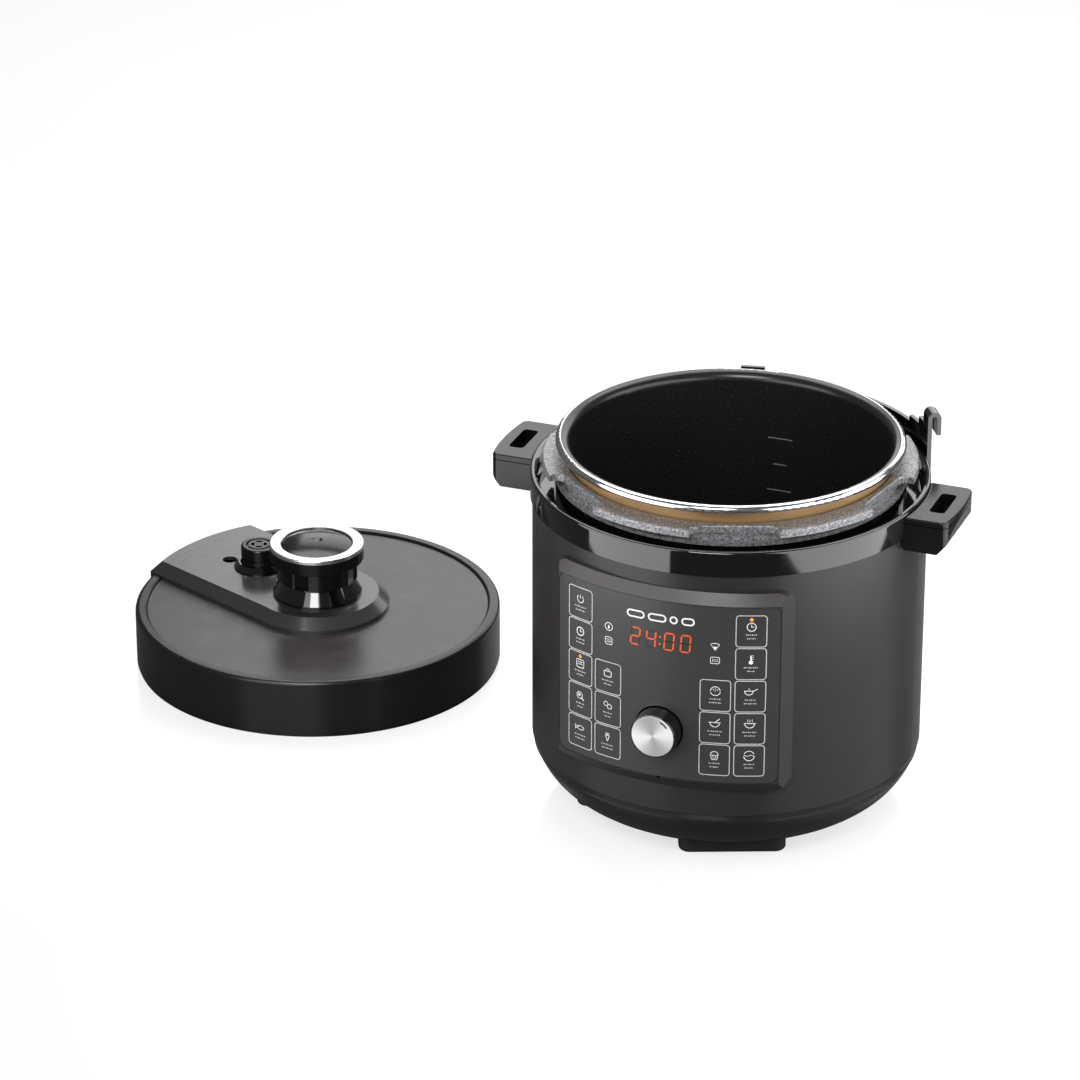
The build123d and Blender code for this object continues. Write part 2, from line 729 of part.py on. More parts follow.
# ================================================================ temperature sensor
cap_top = pot_bottom - sensor_gap
cap_bottom = cap_top - 10.0
with BuildPart() as sensor_cap:
    with BuildSketch(Plane.XY.offset(cap_bottom)):
        Circle(sensor_radius)
    extrude(amount=cap_top - cap_bottom)
    fillet(sensor_cap.edges().group_by(Axis.Z)[-1], 1.5)
    with BuildSketch(Plane.XY.offset(cap_bottom)):
        Circle(sensor_radius - 1.5)
    extrude(amount=cap_top - cap_bottom - 1.5, mode=Mode.SUBTRACT)
    with BuildSketch(Plane.XY.offset(well_floor - well_wall - 4.0)):
        Circle(sensor_stem)
    extrude(amount=cap_top - 1.0 - well_floor + well_wall + 4.0)
sensor_cap.part.label = "sensor_cap"
export_step(sensor_cap.part, "parts/sensor_cap.step")


def coil(radius, wire, bottom, top, turns):
    """A pressed spring between two heights: its wire follows a helix and its ends stay inside."""
    tall = top - bottom - 2 * wire
    with BuildPart() as spring:
        with BuildLine(Plane.XY.offset(bottom + wire)):
            path = Helix(pitch=tall / turns, height=tall, radius=radius)
        with BuildSketch(Plane(origin=path @ 0, z_dir=path % 0)):
            Circle(wire)
        sweep(path=path, is_frenet=True)
    return spring.part


with BuildPart() as sensor_spring:
    add(coil(sensor_stem + 3.5, 0.6, well_floor + 0.1, cap_top - 1.6, 5))
sensor_spring.part.label = "sensor_spring"
export_step(sensor_spring.part, "parts/sensor_spring.step")

# ================================================================ under the well
switch_place = 62.0
with BuildPart() as spring_plate:
    with BuildSketch(Plane.XY.offset(spring_plate_top - 2.0)):
        Circle(post_ring + 14.0)
        Circle(30.0, mode=Mode.SUBTRACT)
        with PolarLocations(post_ring, 4, start_angle=45):
            Circle(screw_radius, mode=Mode.SUBTRACT)
        with PolarLocations(switch_place, 4, start_angle=0):
            SlotOverall(56.0, 12.0, rotation=90, mode=Mode.SUBTRACT)
    extrude(amount=2.0)
    # pillars up to the well's floor
    with BuildSketch(Plane.XY.offset(spring_plate_top)):
        with PolarLocations(post_ring, 4, start_angle=0):
            Circle(5.0)
    extrude(amount=well_floor - well_wall - spring_plate_top)
spring_plate.part.label = "spring_plate"
export_step(spring_plate.part, "parts/spring_plate.step")

with BuildPart() as well_screw:
    with BuildSketch(Plane.XZ):
        with BuildLine():
            Polyline(*screw_profile(screw_head, head_height, screw_radius, 10.0), close=True)
        make_face()
    revolve(axis=Axis.Z)
with BuildPart() as well_screws:
    with PolarLocations(post_ring, 4, start_angle=45):
        add(Pos(0, 0, spring_plate_top) * Rot(180, 0, 0) * well_screw.part)
well_screws.part.label = "well_screws"
export_step(well_screws.part, "parts/well_screws.step")

switch_top = well_floor - well_wall
with BuildPart() as pressure_switch:
    with BuildSketch(Plane.XY.offset(spring_plate_top - 14.0)):
        with Locations((switch_place, 0)):
            RectangleRounded(22.0, 12.0, 1.5)
    extrude(amount=12.0)
    with BuildSketch(Plane.XY.offset(spring_plate_top - 2.0)):
        with Locations((switch_place, 0)):
            RectangleRounded(5.0, 5.0, 1.0)
    extrude(amount=switch_top - spring_plate_top + 2.0)
pressure_switch.part.label = "pressure_switch"
export_step(pressure_switch.part, "parts/pressure_switch.step")

shield_radius = (well_radius + well_wall + body_radius - shell_wall) / 2 - 3.5
with BuildPart() as heat_shield:
    with BuildSketch(Plane.XY.offset(spring_plate_top)):
        Circle(shield_radius)
        Circle(shield_radius - 0.6, mode=Mode.SUBTRACT)
    extrude(amount=trough - ring_wall - spring_plate_top)
heat_shield.part.label = "heat_shield"
export_step(heat_shield.part, "parts/heat_shield.step")

with BuildPart() as power_board:
    with BuildSketch(Plane.XY.offset(foot_height + 6.0)):
        RectangleRounded(112.0, 72.0, 2.0)
    extrude(amount=board_thickness)
    # transformer, capacitor and relay
    with BuildSketch(Plane.XY.offset(foot_height + 6.0 + board_thickness)):
        with Locations((-30.0, 8.0)):
            Rectangle(26.0, 22.0)
    extrude(amount=20.0)
    with BuildSketch(Plane.XY.offset(foot_height + 6.0 + board_thickness)):
        with Locations((4.0, 16.0)):
            Circle(6.5)
    extrude(amount=18.0)
    with BuildSketch(Plane.XY.offset(foot_height + 6.0 + board_thickness)):
        with Locations((34.0, -6.0)):
            Rectangle(22.0, 16.0)
    extrude(amount=16.0)
power_board.part.label = "power_board"
export_step(power_board.part, "parts/power_board.step")

# ================================================================ mains inlet, on the back
inlet_face = body_radius + 1.5
flange_back = body_radius - 3.5
inlet_back = inlet_face - inlet_deep
with BuildPart() as power_inlet:
    with BuildSketch(Plane.XZ.offset(-flange_back)):
        with Locations((0, inlet_z)):
            RectangleRounded(inlet_width + 6.6, inlet_tall + 5.6, 2.0)
    extrude(amount=flange_back - inlet_face)
    with BuildSketch(Plane.XZ.offset(-inlet_back)):
        with Locations((0, inlet_z)):
            Rectangle(inlet_width, inlet_tall)
    extrude(amount=inlet_back - flange_back)
    with BuildSketch(Plane.XZ.offset(-inlet_face)):
        with Locations((0, inlet_z)):
            Rectangle(socket_width, socket_tall)
    extrude(amount=socket_deep, mode=Mode.SUBTRACT)
    # the socket's two cut corners
    with BuildSketch(Plane.XZ.offset(-inlet_face)):
        for side in (-1, 1):
            with Locations((side * socket_width / 2, inlet_z + socket_tall / 2)):
                Rectangle(5.0, 5.0, rotation=45)
    extrude(amount=socket_deep)
    with BuildSketch(Plane.XZ.offset(-inlet_back)):
        with Locations((-7.0, inlet_z - 2.0), (7.0, inlet_z - 2.0), (0, inlet_z + 3.5)):
            Rectangle(2.0, 4.0)
    extrude(amount=-(inlet_deep - socket_deep), mode=Mode.SUBTRACT)
power_inlet.part.label = "power_inlet"
export_step(power_inlet.part, "parts/power_inlet.step")

with BuildPart() as inlet_pins:
    with BuildSketch(Plane.XZ.offset(-inlet_back)):
        with Locations((-7.0, inlet_z - 2.0), (7.0, inlet_z - 2.0), (0, inlet_z + 3.5)):
            Rectangle(2.0, 4.0)
    extrude(amount=-(inlet_deep - 3.0))
inlet_pins.part.label = "inlet_pins"
export_step(inlet_pins.part, "parts/inlet_pins.step")

# ================================================================ handles
slot_x = handle_end - slot_place
line_top = handle_top - handle_top_thickness
grip_top = line_top - handle_line
screw_spread = slot_length / 2 + 8.0


def handle_plate(side):
    """The handle's top plate: from above, a short piece of a round band with a slot for the lid."""
    with BuildPart() as plate:
        with BuildSketch(Plane.XY.offset(line_top)):
            Circle(handle_end)
            Circle(ring_radius, mode=Mode.SUBTRACT)
            with Locations((side * slot_x, 0)):
                Rectangle(slot_x, 2 * handle_half, mode=Mode.INTERSECT)
        extrude(amount=handle_top_thickness)
        upright = plate.edges().filter_by(Axis.Z).group_by(SortBy.DISTANCE)[-1]
        fillet(upright, 5.0)
        fillet(plate.faces().sort_by(Axis.Z)[-1].edges(), 1.6)
        with BuildSketch(Plane.XY.offset(line_top)):
            with Locations((side * slot_x, 0)):
                RectangleRounded(slot_width, slot_length, 3.0)
        extrude(amount=handle_top_thickness, mode=Mode.SUBTRACT)
    return plate.part


def handle_grip(side):
    """The handle's lower half: a block swept in below its end, open under the slot."""
    with BuildPart() as grip:
        with BuildSketch(Plane.XY.offset(handle_bottom)):
            Circle(handle_end)
            Circle(ring_radius, mode=Mode.SUBTRACT)
            with Locations((side * slot_x, 0)):
                Rectangle(slot_x, 2 * handle_half, mode=Mode.INTERSECT)
        extrude(amount=grip_top - handle_bottom)
        upright = grip.edges().filter_by(Axis.Z).group_by(SortBy.DISTANCE)[-1]
        fillet(upright, 5.0)
        # the end and the two sides sweep inwards towards the bottom
        with BuildSketch(Plane.XZ.offset(-handle_half)):
            with BuildLine():
                Polyline((side * ring_radius / 2, handle_bottom), (side * (handle_end - 9), handle_bottom),
                         (side * (handle_end - 3), handle_bottom + 7), (side * handle_end, grip_top),
                         (side * ring_radius / 2, grip_top), close=True)
            make_face()
        extrude(amount=2 * handle_half, mode=Mode.INTERSECT)
        # the narrow neck to the top plate, under the line
        with BuildSketch(Plane.XY.offset(grip_top)):
            with Locations((side * (slot_x - 1.0), 0)):
                RectangleRounded(slot_width + 10.0, slot_length + 10.0, 3.0)
        extrude(amount=handle_line)
        with BuildSketch(Plane.XY.offset(handle_bottom)):
            with Locations((side * slot_x, 0)):
                RectangleRounded(slot_width, slot_length, 3.0)
        extrude(amount=handle_height, mode=Mode.SUBTRACT)
        with BuildSketch(Plane.XY.offset(handle_bottom)):
            with GridLocations(2 * slot_x, 2 * screw_spread, 2, 2):
                Circle(screw_radius)
        extrude(amount=handle_height, mode=Mode.SUBTRACT)
        with BuildSketch(Plane.XY.offset(handle_bottom)):
            with GridLocations(2 * slot_x, 2 * screw_spread, 2, 2):
                Circle(screw_head + 0.3)
        extrude(amount=head_height + 0.8, mode=Mode.SUBTRACT)
    return grip.part


with BuildPart() as right_handle_top:
    add(handle_plate(1))
right_handle_top.part.label = "right_handle_top"
export_step(right_handle_top.part, "parts/right_handle_top.step")
with BuildPart() as left_handle_top:
    add(handle_plate(-1))
left_handle_top.part.label = "left_handle_top"
export_step(left_handle_top.part, "parts/left_handle_top.step")
with BuildPart() as right_handle_grip:
    add(handle_grip(1))
right_handle_grip.part.label = "right_handle_grip"
export_step(right_handle_grip.part, "parts/right_handle_grip.step")
with BuildPart() as left_handle_grip:
    add(handle_grip(-1))
left_handle_grip.part.label = "left_handle_grip"
export_step(left_handle_grip.part, "parts/left_handle_grip.step")

handle_seat = handle_bottom + head_height + 0.8
with BuildPart() as handle_screw:
    with BuildSketch(Plane.XZ):
        with BuildLine():
            Polyline(*screw_profile(screw_head, head_height, screw_radius, line_top - handle_seat), close=True)
        make_face()
    revolve(axis=Axis.Z)
with BuildPart() as handle_screws:
    with GridLocations(2 * slot_x, 2 * screw_spread, 2, 2):
        add(Pos(0, 0, handle_seat) * handle_screw.part)
handle_screws.part.label = "handle_screws"
export_step(handle_screws.part, "parts/handle_screws.step")

# ================================================================ lid guard, behind the ring
guard_inside = ring_radius + guard_gap
guard_outside = guard_inside + guard_wall
guard_top = ring_top + guard_rise
hook_top = ring_top + hook_rise


def band(inside, outside, start, sweep_angle, low, high):
    """A piece of an upright round wall about the cooker's axis."""
    with BuildPart() as wall:
        with BuildSketch(Plane.XZ.rotated((0, 0, start))):
            with BuildLine():
                Polyline((inside, low), (outside, low), (outside, high), (inside, high), close=True)
            make_face()
        revolve(axis=Axis.Z, revolution_arc=sweep_angle)
    return wall.part


with BuildPart() as lid_guard:
    add(band(guard_inside, guard_outside, guard_start, guard_sweep, shell_top + 4, guard_top))
    # foot that joins it to the ring
    add(band(ring_radius, guard_outside, guard_start, guard_sweep, shell_top + 4, ring_top - 6))
    # the wall climbs towards the hook, and a small stop stands at the other end
    add(band(guard_inside, guard_outside, guard_start, 14.0, guard_top, guard_top + 4))
    add(band(guard_inside, guard_outside, guard_start, 8.0, guard_top + 4, guard_top + 9))
    add(band(guard_inside, guard_outside, guard_start + guard_sweep - 7.0, 7.0, guard_top, guard_top + 7))
    # the hook: the wall rises, bends outwards over a half circle and comes down again
    with BuildSketch(Plane.XZ.rotated((0, 0, guard_start))):
        with BuildLine():
            middle = guard_inside + hook_reach / 2
            turn = hook_top - hook_reach / 2
            Line((guard_inside, ring_top), (guard_inside, turn))
            ThreePointArc((guard_inside, turn), (middle, hook_top), (guard_inside + hook_reach, turn))
            Polyline((guard_inside + hook_reach, turn), (guard_inside + hook_reach, hook_top - 17.0),
                     (guard_inside + hook_reach - guard_wall, hook_top - 17.0),
                     (guard_inside + hook_reach - guard_wall, turn))
            ThreePointArc((guard_inside + hook_reach - guard_wall, turn), (middle, hook_top - guard_wall),
                          (guard_outside, turn))
            Polyline((guard_outside, turn), (guard_outside, ring_top), (guard_inside, ring_top))
        make_face()
    extrude(amount=-hook_width)
lid_guard.part.label = "lid_guard"
export_step(lid_guard.part, "parts/lid_guard.step")

# ================================================================ condensate cup, hung on the back
cup_top = shell_top - cup_drop
cup_back = body_radius + 4.0
rail_inside = cup_width / 2 + slide_gap
with BuildPart() as cup_bracket:
    with BuildSketch(Plane.XY.offset(cup_top - cup_tall)):
        with Locations((0, cup_back - 10.0 - slide_gap)):
            Rectangle(2 * (rail_inside + rail_width), 20.0)
        Circle(body_radius, mode=Mode.SUBTRACT)
    extrude(amount=cup_tall + 2.0)
    # two rails that the cup's rim slides on
    with BuildSketch(Plane.XY.offset(cup_top - 8.0)):
        for side in (-1, 1):
            with Locations((side * (rail_inside + rail_width / 2), cup_back + cup_depth / 2 - 2.0)):
                Rectangle(rail_width, cup_depth)
    extrude(amount=6.0 - slide_gap)
cup_bracket.part.label = "cup_bracket"
export_step(cup_bracket.part, "parts/cup_bracket.step")

with BuildPart() as condensate_cup:
    with BuildSketch(Plane.XY.offset(cup_top - cup_tall)):
        with Locations((0, cup_back + cup_depth / 2)):
            RectangleRounded(cup_width, cup_depth, 4.0)
    extrude(amount=cup_tall)
    fillet(condensate_cup.edges().group_by(Axis.Z)[0], 3.0)
    with BuildSketch(Plane.XY.offset(cup_top - cup_tall + cup_wall)):
        with Locations((0, cup_back + cup_depth / 2)):
            RectangleRounded(cup_width - 2 * cup_wall, cup_depth - 2 * cup_wall, 3.0)
    extrude(amount=cup_tall, mode=Mode.SUBTRACT)
    # rim that rides on the rails
    with BuildSketch(Plane.XY.offset(cup_top - 2.0)):
        with Locations((0, cup_back + cup_depth / 2)):
            Rectangle(cup_width + 2 * rail_width, cup_depth)
            Rectangle(cup_width - 2 * cup_wall, cup_depth - 2 * cup_wall, mode=Mode.SUBTRACT)
    extrude(amount=2.0)
condensate_cup.part.label = "condensate_cup"
export_step(condensate_cup.part, "parts/condensate_cup.step")

# ================================================================ inner pot
flare = rim_top - rim_tall
lip = rim_radius - 1.4
with BuildPart() as inner_pot:
    with BuildSketch(Plane.XZ):
        with BuildLine():
            inner = pot_radius - pot_wall
            turn = pot_corner * (1 - sqrt(0.5))
            small = pot_corner - pot_wall
            small_turn = small * (1 - sqrt(0.5))
            Line((0, pot_bottom), (pot_radius - pot_corner, pot_bottom))
            ThreePointArc((pot_radius - pot_corner, pot_bottom), (pot_radius - turn, pot_bottom + turn),
                          (pot_radius, pot_bottom + pot_corner))
            Polyline((pot_radius, pot_bottom + pot_corner), (pot_radius, flare - 3.0),
                     (pot_radius + 1.8, flare - 0.4), (lip, flare))
            ThreePointArc((lip, flare), (rim_radius, flare + 1.4), (rim_radius, flare + 2.4))
            ThreePointArc((rim_radius, flare + 2.4), (rim_radius - 0.9, rim_top - 0.9),
                          (rim_radius - 3.0, rim_top))
            ThreePointArc((rim_radius - 3.0, rim_top), (pot_radius + 1.5, rim_top - 1.0),
                          (inner, flare - 2.0))
            Line((inner, flare - 2.0), (inner, pot_inside + small))
            ThreePointArc((inner, pot_inside + small), (inner - small_turn, pot_inside + small_turn),
                          (inner - small, pot_inside))
            Polyline((inner - small, pot_inside), (0, pot_inside), (0, pot_bottom))
        make_face()
    revolve(axis=Axis.Z)
inner_pot.part.label = "inner_pot"
export_step(inner_pot.part, "parts/inner_pot.step")

# ================================================================ lid, outside
with BuildPart() as lid_skirt:
    with BuildSketch(lid_section):
        with BuildLine():
            Polyline((skirt_inside, 0), (lid_radius - 1.0, 0), (lid_radius - 1.0, 2.2), (lid_radius, 2.8),
                     (lid_radius, skirt_height - 3.0))
            RadiusArc((lid_radius, skirt_height - 3.0), (lid_radius - 3.0, skirt_height), -3.0)
            Polyline((lid_radius - 3.0, skirt_height), (disc_radius + 1.2, skirt_height),
                     (disc_radius, skirt_height - 1.0), (disc_radius, disc_bottom),
                     (disc_radius - 3.0, disc_bottom), (disc_radius - 3.0, disc_bottom - 2.0),
                     (skirt_inside, disc_bottom - 2.0), (skirt_inside, 0))
        make_face()
    revolve(axis=lid_axis)
lid_skirt.part.label = "lid_skirt"
export_step(lid_skirt.part, "parts/lid_skirt.step")

with BuildPart() as lid_disc:
    with BuildSketch(lid_plane.offset(disc_bottom)):
        Circle(disc_radius - 0.2)
    extrude(amount=disc_thickness)
    fillet(lid_disc.edges().group_by(Axis.Z)[-1], 0.5)
    # open under the bridge, for the release lever and the valves
    with BuildSketch(lid_plane.offset(disc_bottom)):
        Circle(bridge_round - bridge_bevel - 4.0)
        with Locations((step_radius / 2, 0)):
            Rectangle(step_radius, 2 * (bridge_half - bridge_bevel - 4.0))
    extrude(amount=disc_thickness, mode=Mode.SUBTRACT)
lid_disc.part.label = "lid_disc"
export_step(lid_disc.part, "parts/lid_disc.step")

# ================================================================ lid, inside
with BuildPart() as lid_pan:
    with BuildSketch(lid_section):
        with BuildLine():
            Polyline((0, pan_under), (step_radius, pan_under), (step_radius, roof_height - pan_wall),
                     (pan_inside, roof_height - pan_wall), (pan_inside, pan_lift), (pan_radius, pan_lift),
                     (pan_radius, roof_height - 2.0))
            RadiusArc((pan_radius, roof_height - 2.0), (pan_radius - 2.0, roof_height), -2.0)
            Polyline((pan_radius - 2.0, roof_height), (step_radius - pan_wall, roof_height),
                     (step_radius - pan_wall, pan_height), (0, pan_height), (0, pan_under))
        make_face()
    revolve(axis=lid_axis)
    # six teeth that turn in under the flange's lobes
    with BuildSketch(lid_plane.offset(pan_lift)):
        Circle(pan_inside + pan_wall / 2)
        Circle(teeth_radius, mode=Mode.SUBTRACT)
        with PolarLocations(teeth_radius, lobe_count, start_angle=30):
            Rectangle(4 * teeth_depth, gap_width + 8.0, mode=Mode.SUBTRACT)
    extrude(amount=tooth_thickness)
    # holes for the vent pipe, the float valve and the screws
    with BuildSketch(lid_plane.offset(pan_under)):
        with Locations((valve_place, 0)):
            Circle(pipe_radius)
        with Locations((float_place, float_side)):
            Circle(float_radius + 0.1)
        with Locations(*post_spots):
            Circle(screw_radius)
    extrude(amount=pan_wall, mode=Mode.SUBTRACT)
lid_pan.part.label = "lid_pan"
export_step(lid_pan.part, "parts/lid_pan.step")

seal_low = rim_top - ring_top + pan_lift - 1.6
seal_lip = step_radius + 4.0
with BuildPart() as sealing_ring:
    with BuildSketch(lid_section):
        with BuildLine():
            Polyline((seal_lip, seal_low), (pan_inside - 1.4, seal_low), (pan_inside - 0.5, seal_low + 1.0),
                     (pan_inside - 0.5, roof_height - pan_wall - 1.0),
                     (pan_inside - 1.4, roof_height - pan_wall - 0.4),
                     (pan_inside - 7.0, roof_height - pan_wall - 0.4),
                     (pan_inside - 7.0, seal_low + 2.8), (seal_lip, seal_low + 2.0), close=True)
        make_face()
    revolve(axis=lid_axis)
sealing_ring.part.label = "sealing_ring"
export_step(sealing_ring.part, "parts/sealing_ring.step")

rack_wire = 1.2
rack_ring = step_radius + 2.6
rack_height = seal_low - 2.2
with BuildPart() as seal_rack:
    with BuildSketch(lid_section):
        with Locations((rack_ring, rack_height)):
            Circle(rack_wire)
    revolve(axis=lid_axis)
    with BuildSketch(lid_plane.offset(rack_height)):
        with PolarLocations(step_radius + rack_wire + 0.3, 4, start_angle=45):
            Circle(rack_wire)
    extrude(amount=roof_height - pan_wall - rack_height)
seal_rack.part.label = "seal_rack"
export_step(seal_rack.part, "parts/seal_rack.step")

pipe_top = bridge_top + 2.5
with BuildPart() as vent_pipe:
    with BuildSketch(lid_section):
        with BuildLine():
            reach = valve_place
            Polyline((reach + pipe_bore, pan_under - 5.0), (reach + 6.5, pan_under - 5.0),
                     (reach + 6.5, pan_under), (reach + pipe_radius, pan_under),
                     (reach + pipe_radius, pan_height), (reach + 6.5, pan_height),
                     (reach + 6.5, pan_height + 2.0), (reach + pipe_radius, pan_height + 3.0),
                     (reach + pipe_radius, pipe_top - 1.2), (reach + pipe_radius - 1.2, pipe_top),
                     (reach + pipe_bore, pipe_top), close=True)
        make_face()
    revolve(axis=valve_axis)
vent_pipe.part.label = "vent_pipe"
export_step(vent_pipe.part, "parts/vent_pipe.step")

with BuildPart() as vent_shield:
    with BuildSketch(lid_plane.offset(pan_under - 12.0)):
        with Locations((valve_place, 0)):
            Circle(11.0)
    extrude(amount=12.0)
    with BuildSketch(lid_plane.offset(pan_under - 11.0)):
        with Locations((valve_place, 0)):
            Circle(10.0)
    extrude(amount=11.0, mode=Mode.SUBTRACT)
    # steam slots round its wall
    with BuildSketch(lid_plane.offset(pan_under - 9.5)):
        with Locations((valve_place, 0)):
            with PolarLocations(10.5, 12):
                Rectangle(4.0, 2.0)
    extrude(amount=6.5, mode=Mode.SUBTRACT)
vent_shield.part.label = "vent_shield"
export_step(vent_shield.part, "parts/vent_shield.step")

# ================================================================ bridge over the lid
bridge_end = lid_radius + bridge_overlap
lever_level = disc_bottom + lever_thickness + 2.4
lever_pivot = valve_place / 2
pivot_z = lever_level - lever_thickness / 2
with BuildPart() as bridge_body:
    with BuildSketch(lid_plane.offset(disc_top)):
        Circle(bridge_round)
        with Locations((lid_radius / 2, 0)):
            Rectangle(lid_radius, 2 * bridge_half)
        with Locations((lid_radius - 10.0, 0)):
            Rectangle(40.0, 2 * bridge_half)
        Circle(bridge_end, mode=Mode.INTERSECT)
    extrude(amount=bridge_top - disc_top)
    chamfer(bridge_body.faces().sort_by(Axis.Z)[-1].edges(), bridge_bevel, bridge_bevel)

with BuildPart() as lid_bridge:
    add(bridge_body.part)
    # the tail's end drops over the skirt
    with BuildSketch(lid_plane.offset(skirt_height - bridge_drop)):
        Circle(bridge_end)
        Circle(lid_radius, mode=Mode.SUBTRACT)
        with Locations((lid_radius, 0)):
            Rectangle(60.0, 2 * bridge_half, mode=Mode.INTERSECT)
    extrude(amount=bridge_drop)
    # it sits over the skirt's rim
    with BuildSketch(lid_plane.offset(disc_top)):
        Circle(lid_radius)
        Circle(disc_radius - 0.4, mode=Mode.SUBTRACT)
    extrude(amount=skirt_height - disc_top, mode=Mode.SUBTRACT)
    # hollow inside
    with BuildSketch(lid_plane.offset(disc_top)):
        Circle(bridge_round - bridge_bevel - 2.0)
        with Locations((step_radius / 2 + 4.0, 0)):
            Rectangle(step_radius + 8.0, 2 * (bridge_half - bridge_bevel - 2.0))
    extrude(amount=bridge_under - disc_top, mode=Mode.SUBTRACT)
    # posts down to the pan and two lugs for the lever's pin
    with BuildSketch(lid_plane.offset(pan_height)):
        with Locations(*post_spots):
            Circle(4.5)
            Circle(screw_radius, mode=Mode.SUBTRACT)
    extrude(amount=bridge_under - pan_height)
    with BuildSketch(lid_plane.offset(pivot_z - 4.5)):
        with Locations((lever_pivot, 12.5), (lever_pivot, -12.5)):
            Rectangle(9.0, 3.0)
    extrude(amount=bridge_under - pivot_z + 4.5)
    with BuildSketch(Plane(origin=lid_plane.from_local_coords((lever_pivot, -15, pivot_z)),
                           x_dir=tail, z_dir=lid_plane.y_dir)):
        Circle(lever_pin_radius)
    extrude(amount=30.0, mode=Mode.SUBTRACT)
    # openings for the steam valve, the float valve and the release rod, and a finger pocket
    with BuildSketch(lid_plane.offset(bridge_under)):
        with Locations((valve_place, 0)):
            Circle(valve_radius + 0.8)
        with Locations((float_place, float_side)):
            Circle(float_hole)
        Circle(rod_radius + 1.0)
    extrude(amount=bridge_skin, mode=Mode.SUBTRACT)
    with BuildSketch(lid_plane.offset(bridge_top - 1.6)):
        with Locations((valve_place, -collar_radius - 3.0)):
            RectangleRounded(26.0, 9.0, 2.0)
    extrude(amount=1.6, mode=Mode.SUBTRACT)
lid_bridge.part.label = "lid_bridge"
export_step(lid_bridge.part, "parts/lid_bridge.step")

with BuildPart() as lid_screw:
    with BuildSketch(Plane.XZ):
        with BuildLine():
            Polyline(*screw_profile(screw_head, head_height, screw_radius, 12.0), close=True)
        make_face()
    revolve(axis=Axis.Z)
with BuildPart() as lid_screws:
    for along, across in post_spots:
        add(Pos(lid_plane.from_local_coords((along, across, pan_under))) * lid_screw.part)
lid_screws.part.label = "lid_screws"
export_step(lid_screws.part, "parts/lid_screws.step")

with BuildPart() as valve_collar:
    with BuildSketch(lid_section):
        with BuildLine():
            near = valve_place + valve_radius + 0.8
            Polyline((near, bridge_top), (valve_place + collar_radius, bridge_top),
                     (valve_place + collar_radius, bridge_top + 1.0),
                     (near + 1.2, bridge_top + collar_rise), (near, bridge_top + collar_rise), close=True)
        make_face()
    revolve(axis=valve_axis)
valve_collar.part.label = "valve_collar"
export_step(valve_collar.part, "parts/valve_collar.step")

# ================================================================ steam valve and float valve
valve_top = bridge_top + valve_rise
valve_low = lever_level + lever_gap
with BuildPart() as steam_valve:
    with BuildSketch(lid_plane.offset(valve_low)):
        with Locations((valve_place, 0)):
            Circle(valve_radius)
    extrude(amount=valve_top - valve_low)
    fillet(steam_valve.edges().group_by(Axis.Z)[-1], 1.6)
    # waist under the head
    with BuildSketch(lid_plane.offset(bridge_top + 8.0)):
        with Locations((valve_place, 0)):
            Circle(valve_radius)
            Circle(valve_radius - 1.2, mode=Mode.SUBTRACT)
    extrude(amount=1.6, mode=Mode.SUBTRACT)
    # bore that stands over the vent pipe
    with BuildSketch(lid_plane.offset(valve_low)):
        with Locations((valve_place, 0)):
            Circle(pipe_radius + 0.4)
    extrude(amount=pipe_top + valve_gap - valve_low, mode=Mode.SUBTRACT)
    # round top recess with four steam slots
    with BuildSketch(lid_plane.offset(valve_top - 1.6)):
        with Locations((valve_place, 0)):
            Circle(valve_radius - 3.5)
            Circle(valve_radius - 5.5, mode=Mode.SUBTRACT)
    extrude(amount=1.6, mode=Mode.SUBTRACT)
    with BuildSketch(lid_plane.offset(valve_top - 5.0)):
        with Locations((valve_place, 0)):
            with PolarLocations(4.6, 4, start_angle=45):
                SlotOverall(5.0, 2.6, rotation=90)
    extrude(amount=5.0, mode=Mode.SUBTRACT)
steam_valve.part.label = "steam_valve"
export_step(steam_valve.part, "parts/steam_valve.step")

float_low = pan_under - 8.0
with BuildPart() as float_valve:
    with BuildSketch(lid_plane.offset(float_low)):
        with Locations((float_place, float_side)):
            Circle(float_radius)
    extrude(amount=bridge_top - 4.5 - float_low)
    fillet(float_valve.edges().group_by(Axis.Z)[-1], 0.8)
    with BuildSketch(lid_plane.offset(float_low)):
        with Locations((float_place, float_side)):
            Circle(float_radius + 2.6)
    extrude(amount=1.8)
float_valve.part.label = "float_valve"
export_step(float_valve.part, "parts/float_valve.step")

with BuildPart() as float_gasket:
    with BuildSketch(lid_plane.offset(float_low + 1.8)):
        with Locations((float_place, float_side)):
            Circle(float_radius + 2.2)
            Circle(float_radius, mode=Mode.SUBTRACT)
    extrude(amount=1.6)
float_gasket.part.label = "float_gasket"
export_step(float_gasket.part, "parts/float_gasket.step")

# ================================================================ lid knob and release button
ring_low = knob_top - ring_thick
grip_low = ring_low - grip_height
ring_inner = knob_ring_radius - ring_band
with BuildPart() as knob_pedestal:
    with BuildSketch(lid_section):
        with BuildLine():
            Polyline((rod_radius + shaft_clearance, bridge_top), (pedestal_radius, bridge_top),
                     (pedestal_radius, bridge_top + 2.0), (neck_radius, bridge_top + 12.0),
                     (collar_neck, bridge_top + 13.5), (collar_neck, grip_low),
                     (rod_radius + shaft_clearance, grip_low), close=True)
        make_face()
    revolve(axis=lid_axis)
    # four finger notches in the collar under the knob
    with BuildSketch(lid_plane.offset(bridge_top + 13.5)):
        with PolarLocations(collar_neck + 1.0, 4, start_angle=20):
            SlotOverall(16.0, 7.0, rotation=90)
    extrude(amount=grip_low - bridge_top - 15.5, mode=Mode.SUBTRACT)
knob_pedestal.part.label = "knob_pedestal"
export_step(knob_pedestal.part, "parts/knob_pedestal.step")

